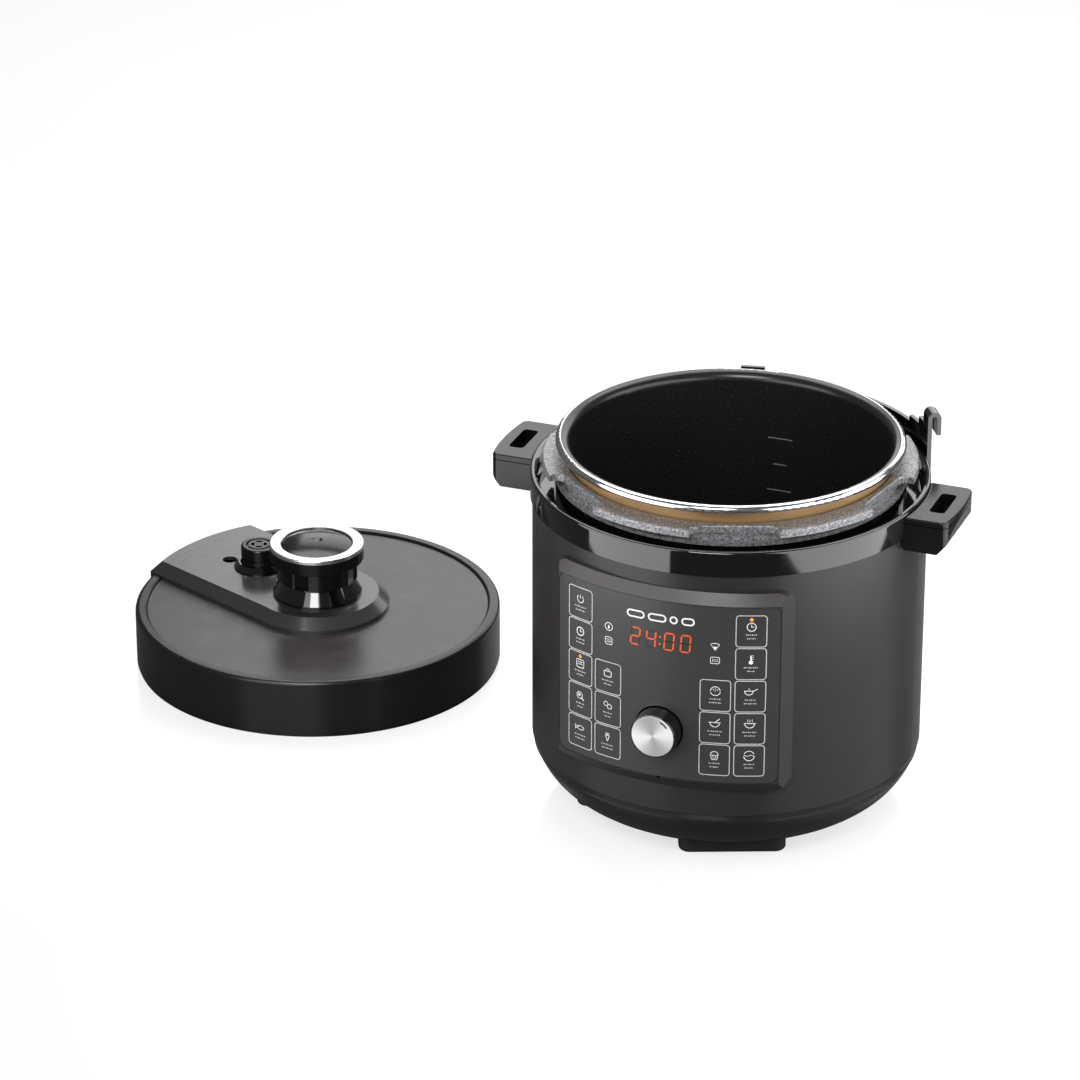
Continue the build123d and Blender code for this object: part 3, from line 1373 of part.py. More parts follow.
button_outside = ring_inner - button_gap
with BuildPart() as knob_grip:
    with BuildSketch(lid_plane.offset(grip_low)):
        Circle(knob_ring_radius - 0.4)
    extrude(amount=grip_height)
    fillet(knob_grip.edges().group_by(Axis.Z)[0], 1.2)
    with BuildSketch(lid_plane.offset(grip_low + grip_floor)):
        Circle(ring_inner)
    extrude(amount=grip_height, mode=Mode.SUBTRACT)
    with BuildSketch(lid_plane.offset(grip_low)):
        Circle(rod_radius + shaft_clearance)
    extrude(amount=grip_floor, mode=Mode.SUBTRACT)
    # upright ribs
    with BuildSketch(lid_plane.offset(grip_low)):
        with PolarLocations(knob_ring_radius, rib_count):
            Rectangle(1.6, 1.5)
    extrude(amount=grip_height - 1.2, mode=Mode.SUBTRACT)
knob_grip.part.label = "knob_grip"
export_step(knob_grip.part, "parts/knob_grip.step")

with BuildPart() as knob_ring:
    with BuildSketch(lid_section):
        with BuildLine():
            Polyline((ring_inner, ring_low), (knob_ring_radius, ring_low),
                     (knob_ring_radius, knob_top - 1.2))
            RadiusArc((knob_ring_radius, knob_top - 1.2), (knob_ring_radius - 1.2, knob_top), -1.2)
            Polyline((knob_ring_radius - 1.2, knob_top), (ring_inner + 0.6, knob_top - 0.8),
                     (ring_inner, knob_top - 1.4), (ring_inner, ring_low))
        make_face()
    revolve(axis=lid_axis)
knob_ring.part.label = "knob_ring"
export_step(knob_ring.part, "parts/knob_ring.step")

button_low = grip_low + grip_floor + button_travel + 0.6
button_edge = knob_top - 2.0
dimple_radius = 4.5
button_peak = button_edge + button_dome + 1.2
with BuildPart() as release_button:
    with BuildSketch(lid_section):
        with BuildLine():
            Polyline((0, button_low), (button_outside, button_low), (button_outside, button_edge))
            ThreePointArc((button_outside, button_edge), (button_outside * 0.62, button_edge + button_dome),
                          (dimple_radius, button_peak))
            Polyline((dimple_radius, button_peak), (dimple_radius - 2.0, button_peak - 0.5),
                     (0, button_peak - 0.5), (0, button_low))
        make_face()
    revolve(axis=lid_axis)
    # hollow below, and the rod down to the lever
    with BuildSketch(lid_plane.offset(button_low)):
        Circle(button_outside - 2.0)
    extrude(amount=button_edge - button_low - 1.0, mode=Mode.SUBTRACT)
    with BuildSketch(lid_plane.offset(lever_level + lever_gap)):
        Circle(rod_radius)
    extrude(amount=button_edge - lever_level - lever_gap)
release_button.part.label = "release_button"
export_step(release_button.part, "parts/release_button.step")

spring_low = grip_low + grip_floor + 0.1
spring_coil = coil(rod_radius + 4.0, 0.6, spring_low, button_edge - 1.2, 5)
with BuildPart() as button_spring:
    add(Pos(lid_x, lid_y, 0) * spring_coil)
button_spring.part.label = "button_spring"
export_step(button_spring.part, "parts/button_spring.step")

with BuildPart() as release_lever:
    with BuildSketch(lid_plane.offset(lever_level - lever_thickness)):
        with Locations((lever_pivot / 2 - 3.0, 0)):
            Rectangle(lever_pivot + 6.0, 10.0)
        with Locations((lever_pivot + 5.0, 0)):
            Rectangle(10.0, 20.0)
        with Locations((lever_pivot + 20.0, 8.0), (lever_pivot + 20.0, -8.0)):
            Rectangle(26.0, 4.0)
    extrude(amount=lever_thickness)
    with BuildSketch(Plane(origin=lid_plane.from_local_coords((lever_pivot, -10, pivot_z)),
                           x_dir=tail, z_dir=lid_plane.y_dir)):
        Circle(lever_pin_radius + 2.2)
    extrude(amount=20.0)
    with BuildSketch(Plane(origin=lid_plane.from_local_coords((lever_pivot, -10, pivot_z)),
                           x_dir=tail, z_dir=lid_plane.y_dir)):
        Circle(lever_pin_radius + shaft_clearance)
    extrude(amount=20.0, mode=Mode.SUBTRACT)
release_lever.part.label = "release_lever"
export_step(release_lever.part, "parts/release_lever.step")

with BuildPart() as lever_pin:
    with BuildSketch(Plane(origin=lid_plane.from_local_coords((lever_pivot, -15, pivot_z)),
                           x_dir=tail, z_dir=lid_plane.y_dir)):
        Circle(lever_pin_radius)
    extrude(amount=30.0)
lever_pin.part.label = "lever_pin"
export_step(lever_pin.part, "parts/lever_pin.step")
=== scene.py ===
# %% [markdown]
# # A countertop pressure cooker, finished in Blender
#
# The cooker's body, pot and lid come from a finished CAD model, in metres, and they aren't moved or
# reshaped here. This lesson gives every surface its real finish and adds what a CAD model leaves out:
# the printing on the control film, the lit display, the raised marks on the lid and the pot's lines.
# Each step first says what the real thing is, and then makes it.

# %% Load the frame
import math

import bmesh
import bpy
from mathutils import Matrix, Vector


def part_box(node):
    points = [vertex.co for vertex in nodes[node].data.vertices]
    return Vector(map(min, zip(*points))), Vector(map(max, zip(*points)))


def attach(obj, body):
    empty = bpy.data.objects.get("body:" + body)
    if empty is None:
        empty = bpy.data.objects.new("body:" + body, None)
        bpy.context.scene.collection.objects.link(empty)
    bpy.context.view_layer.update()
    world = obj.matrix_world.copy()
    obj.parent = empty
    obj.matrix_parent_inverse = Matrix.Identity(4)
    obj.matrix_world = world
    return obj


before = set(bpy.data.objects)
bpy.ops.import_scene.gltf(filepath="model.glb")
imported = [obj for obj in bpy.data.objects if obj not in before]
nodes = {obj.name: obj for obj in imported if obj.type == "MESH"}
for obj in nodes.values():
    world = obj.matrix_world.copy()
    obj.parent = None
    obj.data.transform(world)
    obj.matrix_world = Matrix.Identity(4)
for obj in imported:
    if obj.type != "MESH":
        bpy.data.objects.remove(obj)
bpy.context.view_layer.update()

# %% [markdown]
# ## Places and sizes
#
# The film, the dial, the pot and the lid are placed from the CAD boxes; the marks on the film are given
# in millimetres along it. The control film is a sheet bent round an upright axis, so its radius follows
# from the box of the film: its width and how far its edges stand back.
# The lid lies turned on the table; the knob gives its centre, and the steam valve gives the direction
# of its tail.

# %% Measure the frame
MM = 0.001
film_thickness, pot_wall_gap = 1.4 * MM, 3.4 * MM
film_low, film_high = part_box("panel_overlay")
film_half = (film_high.x - film_low.x) / 2
film_sag = film_high.y - film_low.y - film_thickness
film_radius = (film_half ** 2 + film_sag ** 2) / (2 * film_sag)
film_axis_y = film_low.y + film_radius
knob_low, knob_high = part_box("knob_face")
dial = (knob_low + knob_high) / 2
rim_low, rim_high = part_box("inner_pot")
well_low, well_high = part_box("outer_pot")
pot_wall_radius = (well_high.x - well_low.x) / 2 - pot_wall_gap
ring_low, ring_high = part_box("knob_ring")
lid_centre = (ring_low + ring_high) / 2
valve_low, valve_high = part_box("steam_valve")
valve_centre = (valve_low + valve_high) / 2
tail_angle = math.atan2(valve_centre.y - lid_centre.y, valve_centre.x - lid_centre.x)
bridge_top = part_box("lid_bridge")[1].z
print("film radius", round(film_radius, 4), "tail", round(math.degrees(tail_angle), 1))

# %% [markdown]
# ## Two small helpers
#
# Paint and plastic colours are known as sRGB hex values, but Blender mixes light in linear values, so
# one function converts them. A second one adds a node, sets it up and links it, for shaders and for
# Geometry Nodes alike.


# %% Colour and node helpers
def tint(code):
    """Linear RGBA for a six-digit sRGB hex colour."""
    parts = [int(code[i:i + 2], 16) / 255 for i in (0, 2, 4)]
    linear = [p / 12.92 if p <= 0.04045 else ((p + 0.055) / 1.055) ** 2.4 for p in parts]
    return (*linear, 1.0)


def add(tree, kind, inputs=None, **settings):
    """Add a node. Each input is a plain value, or another node's output to link from."""
    new = tree.nodes.new(kind)
    for name, value in settings.items():
        setattr(new, name, value)
    for socket, value in (inputs or {}).items():
        if isinstance(value, bpy.types.NodeSocket):
            tree.links.new(value, new.inputs[socket])
        else:
            new.inputs[socket].default_value = value
    return new


def start_material(name):
    """A new material with only its output node, and the tree that it is built in."""
    material = bpy.data.materials.new(name)
    material.use_nodes = True
    tree = material.node_tree
    tree.nodes.clear()
    return material, tree, tree.nodes.new("ShaderNodeOutputMaterial")


def place(tree):
    """Object coordinates: metres in the cooker's own frame, the same on every piece."""
    return add(tree, "ShaderNodeTexCoord").outputs["Object"]


# %% [markdown]
# ## Moulded and painted surfaces
#
# Most of the cooker is one of three things. Moulded plastic comes out of a steel mould whose surface
# it copies: polished for the ring and handles, finely eroded for the bowl and lid. The shell is
# steel with a satin coat, which shows a faint orange-peel of about two millimetres. In each, the
# colour drifts a little, the roughness is uneven where hands touch it, and the bump is the mould's or
# the paint's own grain at its real size. One function makes them all from those few facts.


# %% Moulded and painted finishes
def moulded(name, dark, light, rough, rough_spread, grain_mm, grain_depth_mm, metallic=0.0,
            coat=0.0, coat_rough=0.05, drift_mm=60.0, level=0.5):
    """A plain surface with colour drift, uneven gloss and a fine grain of a real size."""
    material, tree, out = start_material(name)
    where = place(tree)
    drift = add(tree, "ShaderNodeTexNoise", {"Vector": where, "Scale": 1 / (drift_mm * MM),
                                             "Detail": 3.0})
    colour = add(tree, "ShaderNodeMix", {"Factor": drift.outputs["Fac"], 6: tint(dark), 7: tint(light)},
                 data_type="RGBA")
    smear = add(tree, "ShaderNodeTexNoise", {"Vector": where, "Scale": 1 / (14 * MM), "Detail": 4.0})
    gloss = add(tree, "ShaderNodeMapRange", {"Value": smear.outputs["Fac"], "From Min": 0.3,
                                             "From Max": 0.7, "To Min": rough - rough_spread,
                                             "To Max": rough + rough_spread})
    grain = add(tree, "ShaderNodeTexNoise", {"Vector": where, "Scale": 1 / (grain_mm * MM),
                                             "Detail": 2.0})
    bump = add(tree, "ShaderNodeBump", {"Strength": 1.0, "Distance": grain_depth_mm * MM,
                                        "Height": grain.outputs["Fac"]})
    shader = add(tree, "ShaderNodeBsdfPrincipled",
                 {"Base Color": colour.outputs[2], "Roughness": gloss.outputs["Result"],
                  "Normal": bump.outputs["Normal"], "Metallic": metallic, "Coat Weight": coat,
                  "Coat Roughness": coat_rough, "Specular IOR Level": level})
    tree.links.new(shader.outputs["BSDF"], out.inputs["Surface"])
    return material


# Satin-painted steel: the fine orange-peel of a rolled and sprayed panel.
shell_paint = moulded("satin_painted_steel", "232123", "292729", 0.34, 0.03, 1.6, 0.004,
                      coat=0.15, coat_rough=0.3, level=0.42)
# Acrylonitrile butadiene styrene from a finely eroded mould, as on the bowl and the bezel.
bowl_plastic = moulded("eroded_abs_black", "161516", "1c1b1c", 0.3, 0.03, 0.7, 0.006, coat=0.3,
                       coat_rough=0.18)
bezel_plastic = moulded("eroded_abs_charcoal", "272326", "2d292c", 0.36, 0.02, 0.6, 0.004)
# The same plastic from a polished mould: a deep gloss with the slightest ripple of cooling.
gloss_plastic = moulded("polished_abs_black", "060606", "0a0a0b", 0.07, 0.02, 9.0, 0.01, coat=0.6)
handle_plastic = moulded("semi_gloss_abs_black", "0c0c0c", "121213", 0.18, 0.03, 0.8, 0.002, level=0.4)
lid_satin = moulded("satin_coated_lid", "2a272a", "322e31", 0.3, 0.03, 0.9, 0.001, drift_mm=90.0)
lid_side = moulded("satin_lid_skirt", "151415", "1a191a", 0.24, 0.03, 0.6, 0.002, level=0.35)
bridge_plastic = moulded("lid_bridge_abs", "2a2829", "312f30", 0.27, 0.02, 0.9, 0.001, coat=0.4,
                         coat_rough=0.12)
foot_rubber = moulded("vulcanised_rubber", "0d0d0d", "141414", 0.62, 0.05, 0.5, 0.02)
inner_plastic = moulded("plain_nylon_black", "141414", "1b1b1b", 0.45, 0.05, 0.5, 0.01)
silicone = moulded("moulded_silicone", "b9b6ad", "c6c3bb", 0.5, 0.04, 0.5, 0.01)
board_mask = moulded("board_solder_mask", "0c3a1e", "12522b", 0.35, 0.04, 1.2, 0.01)
foil_film = moulded("polyimide_foil", "8a5a1c", "9a6824", 0.3, 0.04, 0.8, 0.005)
smoked = moulded("smoked_abs_cup", "1a1a1c", "242427", 0.18, 0.03, 0.9, 0.004)
print("moulded and painted finishes ready")

# %% [markdown]
# ## Metals
#
# Metal takes its look from how it was cut or formed. The lid's teeth and pan are pressed stainless
# steel with a fine rolled grain, the bright ring is satin chrome plate over plastic, the locking
# flange is cast aluminium blasted with grit, which leaves a coarse grain of about a millimetre whose
# sparkle is partly painted, pale on the crests with painted shade in the pits, and the heating plate
# is cast and then faced on a lathe, so its rings are about half a millimetre apart. Faced metal also
# gets a painted highlight of light and dark sectors round its centre.


# %% Metal finishes
def metal(name, base, rough, grain_mm, grain_depth_mm, stretch=(1, 1, 1), speckle=None):
    """A metal with a grain of a real size, drawn out along an axis by a low stretch value."""
    material, tree, out = start_material(name)
    where = place(tree)
    drawn = add(tree, "ShaderNodeMapping", {"Vector": where, "Scale": stretch})
    grain = add(tree, "ShaderNodeTexNoise", {"Vector": drawn.outputs["Vector"],
                                             "Scale": 1 / (grain_mm * MM), "Detail": 3.0})
    tone = add(tree, "ShaderNodeMix", {"Factor": grain.outputs["Fac"], 6: tint(speckle or base),
                                         7: tint(base)}, data_type="RGBA")
    gloss = add(tree, "ShaderNodeMapRange", {"Value": grain.outputs["Fac"], "To Min": rough * 0.75,
                                             "To Max": rough * 1.25})
    bump = add(tree, "ShaderNodeBump", {"Distance": grain_depth_mm * MM, "Height": grain.outputs["Fac"]})
    shader = add(tree, "ShaderNodeBsdfPrincipled",
                 {"Base Color": tone.outputs[2], "Metallic": 1.0, "Roughness": gloss.outputs["Result"],
                  "Normal": bump.outputs["Normal"]})
    tree.links.new(shader.outputs["BSDF"], out.inputs["Surface"])
    return material


chrome_plate = metal("satin_chrome_plate", "f0f0f2", 0.26, 1.2, 0.001)
pressed_steel = metal("pressed_stainless_steel", "b9babd", 0.24, 0.6, 0.004, stretch=(1, 0.06, 1))
zinc_steel = metal("zinc_plated_steel", "a7a9ac", 0.34, 0.8, 0.01, speckle="8f9296")
drawn_aluminium = metal("drawn_aluminium", "b4b5b8", 0.3, 0.9, 0.006, stretch=(1, 1, 0.08))
brass = metal("turned_brass", "c9a45a", 0.25, 0.5, 0.004)


def blasted_cast(name):
    """Grit-blasted cast aluminium: a grey speckle about a millimetre across, with painted shade in the
    pits and painted sparkle on the crests.
    """
    material, tree, out = start_material(name)
    where = place(tree)
    pits = add(tree, "ShaderNodeTexNoise", {"Vector": where, "Scale": 1 / (1.5 * MM), "Detail": 5.0,
                                            "Roughness": 0.7})
    # Painted shade and sparkle: the colour follows the bump's own noise, dark grey in the pits and pale
    # on the crests.
    pit_shade_and_crest_sparkle = add(tree, "ShaderNodeValToRGB", {"Fac": pits.outputs["Fac"]})
    pit_shade_and_crest_sparkle.color_ramp.elements[0].position, pit_shade_and_crest_sparkle.color_ramp.elements[0].color = 0.36, tint("3e3e40")
    pit_shade_and_crest_sparkle.color_ramp.elements[1].position, pit_shade_and_crest_sparkle.color_ramp.elements[1].color = 0.66, tint("b0b0b3")
    bump = add(tree, "ShaderNodeBump", {"Distance": 0.22 * MM, "Height": pits.outputs["Fac"]})
    shader = add(tree, "ShaderNodeBsdfPrincipled",
                 {"Base Color": pit_shade_and_crest_sparkle.outputs["Color"], "Metallic": 0.5, "Roughness": 0.42,
                  "Normal": bump.outputs["Normal"]})
    tree.links.new(shader.outputs["BSDF"], out.inputs["Surface"])
    return material


cast_flange = blasted_cast("grit_blasted_cast_aluminium")


def turned_face(name, centre, axis, base, pitch_mm, depth_mm, rough, anisotropic, painted_highlight_depth,
                shine=1.0):
    """Metal faced on a lathe: fine rings about an axis, and a painted highlight of light and dark
    sectors from the centre.
    """
    material, tree, out = start_material(name)
    where = place(tree)
    arm = add(tree, "ShaderNodeVectorMath", {0: where, 1: tuple(-c for c in centre)}, operation="ADD")
    flat = add(tree, "ShaderNodeVectorMath", {0: arm.outputs[0], 1: tuple(1 - abs(a) for a in axis)},
               operation="MULTIPLY")
    radius = add(tree, "ShaderNodeVectorMath", {0: flat.outputs[0]}, operation="LENGTH")
    phase = add(tree, "ShaderNodeMath", {0: radius.outputs["Value"], 1: 2 * math.pi / (pitch_mm * MM)},
                operation="MULTIPLY")
    ring = add(tree, "ShaderNodeMath", {0: phase.outputs[0]}, operation="SINE")
    bump = add(tree, "ShaderNodeBump", {"Distance": depth_mm * MM, "Height": ring.outputs[0]})
    around = add(tree, "ShaderNodeVectorMath", {0: flat.outputs[0], 1: axis}, operation="CROSS_PRODUCT")
    tangent = add(tree, "ShaderNodeVectorMath", {0: around.outputs[0]}, operation="NORMALIZE")
    # Painted highlight: the colour turns towards grey by the angle about the centre, in two light and
    # two dark sectors, in place of the turned face's own reflections.
    side = add(tree, "ShaderNodeSeparateXYZ", {0: flat.outputs[0]})
    upward = "Z" if axis[1] else "Y"
    turn = add(tree, "ShaderNodeMath", {0: side.outputs["X"], 1: side.outputs[upward]},
               operation="ARCTAN2")
    folded = add(tree, "ShaderNodeMath", {0: turn.outputs[0], 1: 2.0, 2: 0.5}, operation="MULTIPLY_ADD")
    painted_highlight_fan = add(tree, "ShaderNodeMath", {0: folded.outputs[0]}, operation="COSINE")
    tone = add(tree, "ShaderNodeMapRange", {"Value": painted_highlight_fan.outputs[0], "From Min": -1.0, "From Max": 1.0,
                                            "To Min": 1.0, "To Max": 1.0 - painted_highlight_depth})
    colour = add(tree, "ShaderNodeMix", {"Factor": tone.outputs[0], 6: tint("55565a"), 7: tint(base)},
                 data_type="RGBA")
    shader = add(tree, "ShaderNodeBsdfPrincipled",
                 {"Base Color": colour.outputs[2], "Metallic": shine, "Roughness": rough,
                  "Anisotropic": anisotropic, "Normal": bump.outputs["Normal"],
                  "Tangent": tangent.outputs[0]})
    tree.links.new(shader.outputs["BSDF"], out.inputs["Surface"])
    return material


# The dial's painted highlight greys its colour by up to a half, the plate's by a tenth.
spun_dial = turned_face("spun_aluminium", dial, (0, 1, 0), "eeeff0", 0.35, 0.003, 0.3, 0.8, 0.5,
                       shine=0.45)
faced_plate = turned_face("lathe_faced_aluminium", (0, 0, 0), (0, 0, 1), "a9abae", 0.6, 0.01,
                          0.36, 0.4, 0.1)
print("metal finishes ready")

# %% [markdown]
# ## The inner pot
#
# The pot is one aluminium pressing with three finishes: black non-stick inside, a gold ceramic coat
# outside and a bare polished rim. On a real pot the coats are sprayed and the rim is cut bare on a
# lathe. Here one material picks the finish from where the surface faces and from its radius and height,
# so each edge is as sharp as a lathe leaves it. The non-stick has tiny pale flecks and an even grain.

# %% The pot's three finishes
flare_height = rim_high.z - 5.0 * MM
rim_bare_radius = pot_wall_radius + 4.4 * MM


def pot_finish(name):
    """Non-stick inside, ceramic gold outside, polished metal on the rim."""
    material, tree, out = start_material(name)
    where = place(tree)
    level = add(tree, "ShaderNodeSeparateXYZ", {0: where}).outputs["Z"]
    flat = add(tree, "ShaderNodeVectorMath", {0: where, 1: (1, 1, 0)}, operation="MULTIPLY")
    radius = add(tree, "ShaderNodeVectorMath", {0: flat.outputs[0]}, operation="LENGTH").outputs["Value"]
    normal = add(tree, "ShaderNodeNewGeometry").outputs["True Normal"]
    facing = add(tree, "ShaderNodeVectorMath", {0: normal, 1: flat.outputs[0]}, operation="DOT_PRODUCT")
    outward = add(tree, "ShaderNodeMath", {0: facing.outputs["Value"], 1: 0.0},
                  operation="GREATER_THAN").outputs[0]
    under = add(tree, "ShaderNodeMath", {0: level, 1: rim_low.z + 1.2 * MM},
                operation="LESS_THAN").outputs[0]
    outside = add(tree, "ShaderNodeMath", {0: outward, 1: under}, operation="MAXIMUM").outputs[0]
    high = add(tree, "ShaderNodeMath", {0: level, 1: flare_height},
               operation="GREATER_THAN").outputs[0]
    wide = add(tree, "ShaderNodeMath", {0: radius, 1: rim_bare_radius},
               operation="GREATER_THAN").outputs[0]
    bare = add(tree, "ShaderNodeMath", {0: high, 1: wide}, operation="MULTIPLY").outputs[0]
    fleck = add(tree, "ShaderNodeTexVoronoi", {"Vector": where, "Scale": 1 / (2.2 * MM)})
    dot = add(tree, "ShaderNodeMath", {0: fleck.outputs["Distance"], 1: 0.12}, operation="LESS_THAN")
    black = add(tree, "ShaderNodeMix", {"Factor": dot.outputs[0], 6: tint("1a1a1b"), 7: tint("3c3c3e")},
                data_type="RGBA")
    cloud = add(tree, "ShaderNodeTexNoise", {"Vector": where, "Scale": 1 / (30 * MM), "Detail": 3.0})
    gold = add(tree, "ShaderNodeMix", {"Factor": cloud.outputs["Fac"], 6: tint("9c7c54"),
                                         7: tint("ae8c62")}, data_type="RGBA")
    coat = add(tree, "ShaderNodeMix", {"Factor": outside, 6: black.outputs[2], 7: gold.outputs[2]},
               data_type="RGBA")
    colour = add(tree, "ShaderNodeMix", {"Factor": bare, 6: coat.outputs[2], 7: tint("dcdde0")},
                 data_type="RGBA")
    soft = add(tree, "ShaderNodeMix", {"Factor": outside, 2: 0.26, 3: 0.34})
    rough = add(tree, "ShaderNodeMix", {"Factor": bare, 2: soft.outputs[0], 3: 0.12})
    shine = add(tree, "ShaderNodeMath", {0: outside, 1: 0.55}, operation="MULTIPLY")
    metallic = add(tree, "ShaderNodeMath", {0: shine.outputs[0], 1: bare}, operation="MAXIMUM")
    grain = add(tree, "ShaderNodeTexNoise", {"Vector": where, "Scale": 1 / (0.8 * MM), "Detail": 3.0})
    bump = add(tree, "ShaderNodeBump", {"Distance": 0.008 * MM, "Height": grain.outputs["Fac"]})
    shader = add(tree, "ShaderNodeBsdfPrincipled",
                 {"Base Color": colour.outputs[2], "Metallic": metallic.outputs[0],
                  "Roughness": rough.outputs[0], "Normal": bump.outputs["Normal"]})
    tree.links.new(shader.outputs["BSDF"], out.inputs["Surface"])
    return material


pot_coat = pot_finish("coated_aluminium_pot")
print("pot finish ready, bare rim above", round(flare_height, 4))

# %% [markdown]
# ## Film, ink and light
#
# The control film is polyester, printed on its back, so its face has one even satin with a very fine
# texture, and its ink can't wear off. The ink itself is a pale grey. The digits and the two lamps
# shine through the film: an unlit segment only shows as a slightly different dark.


# %% Film, ink and lit finishes
def lit(name, code, strength, unlit="2a1410"):
    """A light behind the film: emission over a dark base, with the brightness uneven by a grain."""
    material, tree, out = start_material(name)
    where = place(tree)
    cloud = add(tree, "ShaderNodeTexNoise", {"Vector": where, "Scale": 1 / (1.4 * MM), "Detail": 2.0})
    glow = add(tree, "ShaderNodeMapRange", {"Value": cloud.outputs["Fac"], "To Min": strength * 0.8,
                                            "To Max": strength * 1.15})
    shader = add(tree, "ShaderNodeBsdfPrincipled",
                 {"Base Color": tint(unlit), "Roughness": 0.3, "Emission Color": tint(code),
                  "Emission Strength": glow.outputs[0]})
    tree.links.new(shader.outputs["BSDF"], out.inputs["Surface"])
    return material


film_finish = moulded("printed_polyester_film", "323332", "373837", 0.32, 0.02, 0.35, 0.002,
                      drift_mm=120.0)
ink = moulded("screen_ink_pale_grey", "b4b4b4", "c2c2c2", 0.4, 0.02, 0.3, 0.002)
mark_ink = moulded("screen_ink_white", "dcdcdc", "e6e6e6", 0.4, 0.02, 0.3, 0.002)
dial_ink = moulded("pad_print_black", "0d0c0d", "131213", 0.5, 0.03, 0.4, 0.004)
# Painted highlight: a pale grey standing for the light on the edges of the lid's moulded marks, which
# are the bridge's own dark plastic.
lid_mark_painted_highlight = moulded("moulded_relief", "747276", "828084", 0.4, 0.03, 0.8, 0.001)
pot_mark = moulded("pot_level_mark", "6c6c6e", "7a7a7c", 0.4, 0.03, 0.5, 0.004)
segment_on = lit("display_segment_lit", "ff6420", 0.95)
segment_off = moulded("display_segment_unlit", "2b1d1a", "2f201c", 0.32, 0.02, 0.4, 0.002)
lamp_on = lit("indicator_lamp", "ff9a3c", 1.5)
print("film, ink and lit finishes ready")

# %% [markdown]
# ## Give every CAD node its finish
#
# A CAD node keeps its mesh and only gets a material, by name. The list below says which piece is made
# of what. Nodes that share a finish are named together.

# %% Assign the finishes
finishes = {
    shell_paint: ["outer_shell"],
    bowl_plastic: ["base_cover"],
    bezel_plastic: ["panel_bezel"],
    film_finish: ["panel_overlay"],
    gloss_plastic: ["top_ring", "lid_guard", "knob_skirt", "knob_pedestal", "valve_collar"],
    handle_plastic: ["left_handle_top", "right_handle_top", "left_handle_grip", "right_handle_grip",
                     "knob_grip", "steam_valve", "release_button"],
    lid_satin: ["lid_disc"],
    lid_side: ["lid_skirt"],
    bridge_plastic: ["lid_bridge"],
    foot_rubber: ["feet"],
    inner_plastic: ["cup_bracket", "power_inlet", "pressure_switch", "release_lever", "display_module"],
    smoked: ["condensate_cup"],
    silicone: ["sealing_ring", "float_gasket", "drain_spout", "thermal_fuse"],
    board_mask: ["control_board", "power_board"],
    foil_film: ["touch_foil"],
    cast_flange: ["locking_flange"],
    drawn_aluminium: ["outer_pot", "sensor_cap"],
    faced_plate: ["heating_plate"],
    spun_dial: ["knob_face"],
    chrome_plate: ["knob_ring"],
    pot_coat: ["inner_pot"],
    pressed_steel: ["lid_pan", "heat_shield", "spring_plate", "vent_shield"],
    brass: ["inlet_pins"],
    zinc_steel: ["base_screws", "board_screws", "well_screws", "handle_screws", "lid_screws",
                 "knob_shaft", "encoder", "heating_element", "sensor_spring", "button_spring",
                 "lever_pin", "seal_rack", "vent_pipe", "float_valve"],
}
finished = set()
for material, names in finishes.items():
    for name in names:
        nodes[name].data.materials.clear()
        nodes[name].data.materials.append(material)
        finished.add(name)
print("nodes finished:", len(finished), "left:", sorted(set(nodes) - finished))

# %% [markdown]
# ## Drawing flat marks
#
# Printing on the film is made flat first, as strokes with a real line width, in a sheet where x is
# the distance along the film and z is the height. Strokes are short quads, so that the sheet can be
# bent afterwards without its lines cutting through the film.


# %% Stroke helpers
def arc(cx, cz, radius, start=0.0, end=360.0, steps=20):
    """Points on a circle, in millimetres, from one angle to another."""
    angles = [math.radians(start + (end - start) * i / steps) for i in range(steps + 1)]
    return [(cx + radius * math.cos(a), cz + radius * math.sin(a)) for a in angles]


def stroke(sheet, points, width, at=(0.0, 0.0)):
    """A line of even width through points in millimetres, cut into runs of under 1.2 mm."""
    path = []
    for (ax, az), (bx, bz) in zip(points, points[1:]):
        count = max(1, math.ceil(math.dist((ax, az), (bx, bz)) / 1.2))
        path += [(ax + (bx - ax) * i / count, az + (bz - az) * i / count) for i in range(count)]
    path.append(points[-1])
    closed = math.dist(path[0], path[-1]) < 1e-6
    left, right = [], []
    for i, (x, z) in enumerate(path):
        before = path[i - 1] if i > 0 else (path[-2] if closed else path[0])
        after = path[i + 1] if i + 1 < len(path) else (path[1] if closed else path[-1])
        dx, dz = after[0] - before[0], after[1] - before[1]
        size = math.hypot(dx, dz) or 1.0
        nx, nz = -dz / size * width / 2, dx / size * width / 2
        left.append(sheet.verts.new(((at[0] + x + nx) * MM, 0, (at[1] + z + nz) * MM)))
        right.append(sheet.verts.new(((at[0] + x - nx) * MM, 0, (at[1] + z - nz) * MM)))
    for i in range(len(path) - 1):
        sheet.faces.new((left[i], right[i], right[i + 1], left[i + 1]))


def patch(sheet, points, at=(0.0, 0.0)):
    """A filled outline, in millimetres."""
    sheet.faces.new([sheet.verts.new(((at[0] + x) * MM, 0, (at[1] + z) * MM)) for x, z in points])


def sheet_object(name, sheet, material):
    """A flat sheet of marks as an object, with all its faces towards -Y."""
    bmesh.ops.remove_doubles(sheet, verts=sheet.verts, dist=1e-7)
    for face in sheet.faces:
        face.normal_update()
        if face.normal.y > 0:
            face.normal_flip()
    mesh = bpy.data.meshes.new(name)
    sheet.to_mesh(mesh)
    sheet.free()
    mesh.materials.append(material)
    made = bpy.data.objects.new(name, mesh)
    bpy.context.scene.collection.objects.link(made)
    return made


print("stroke helpers ready")
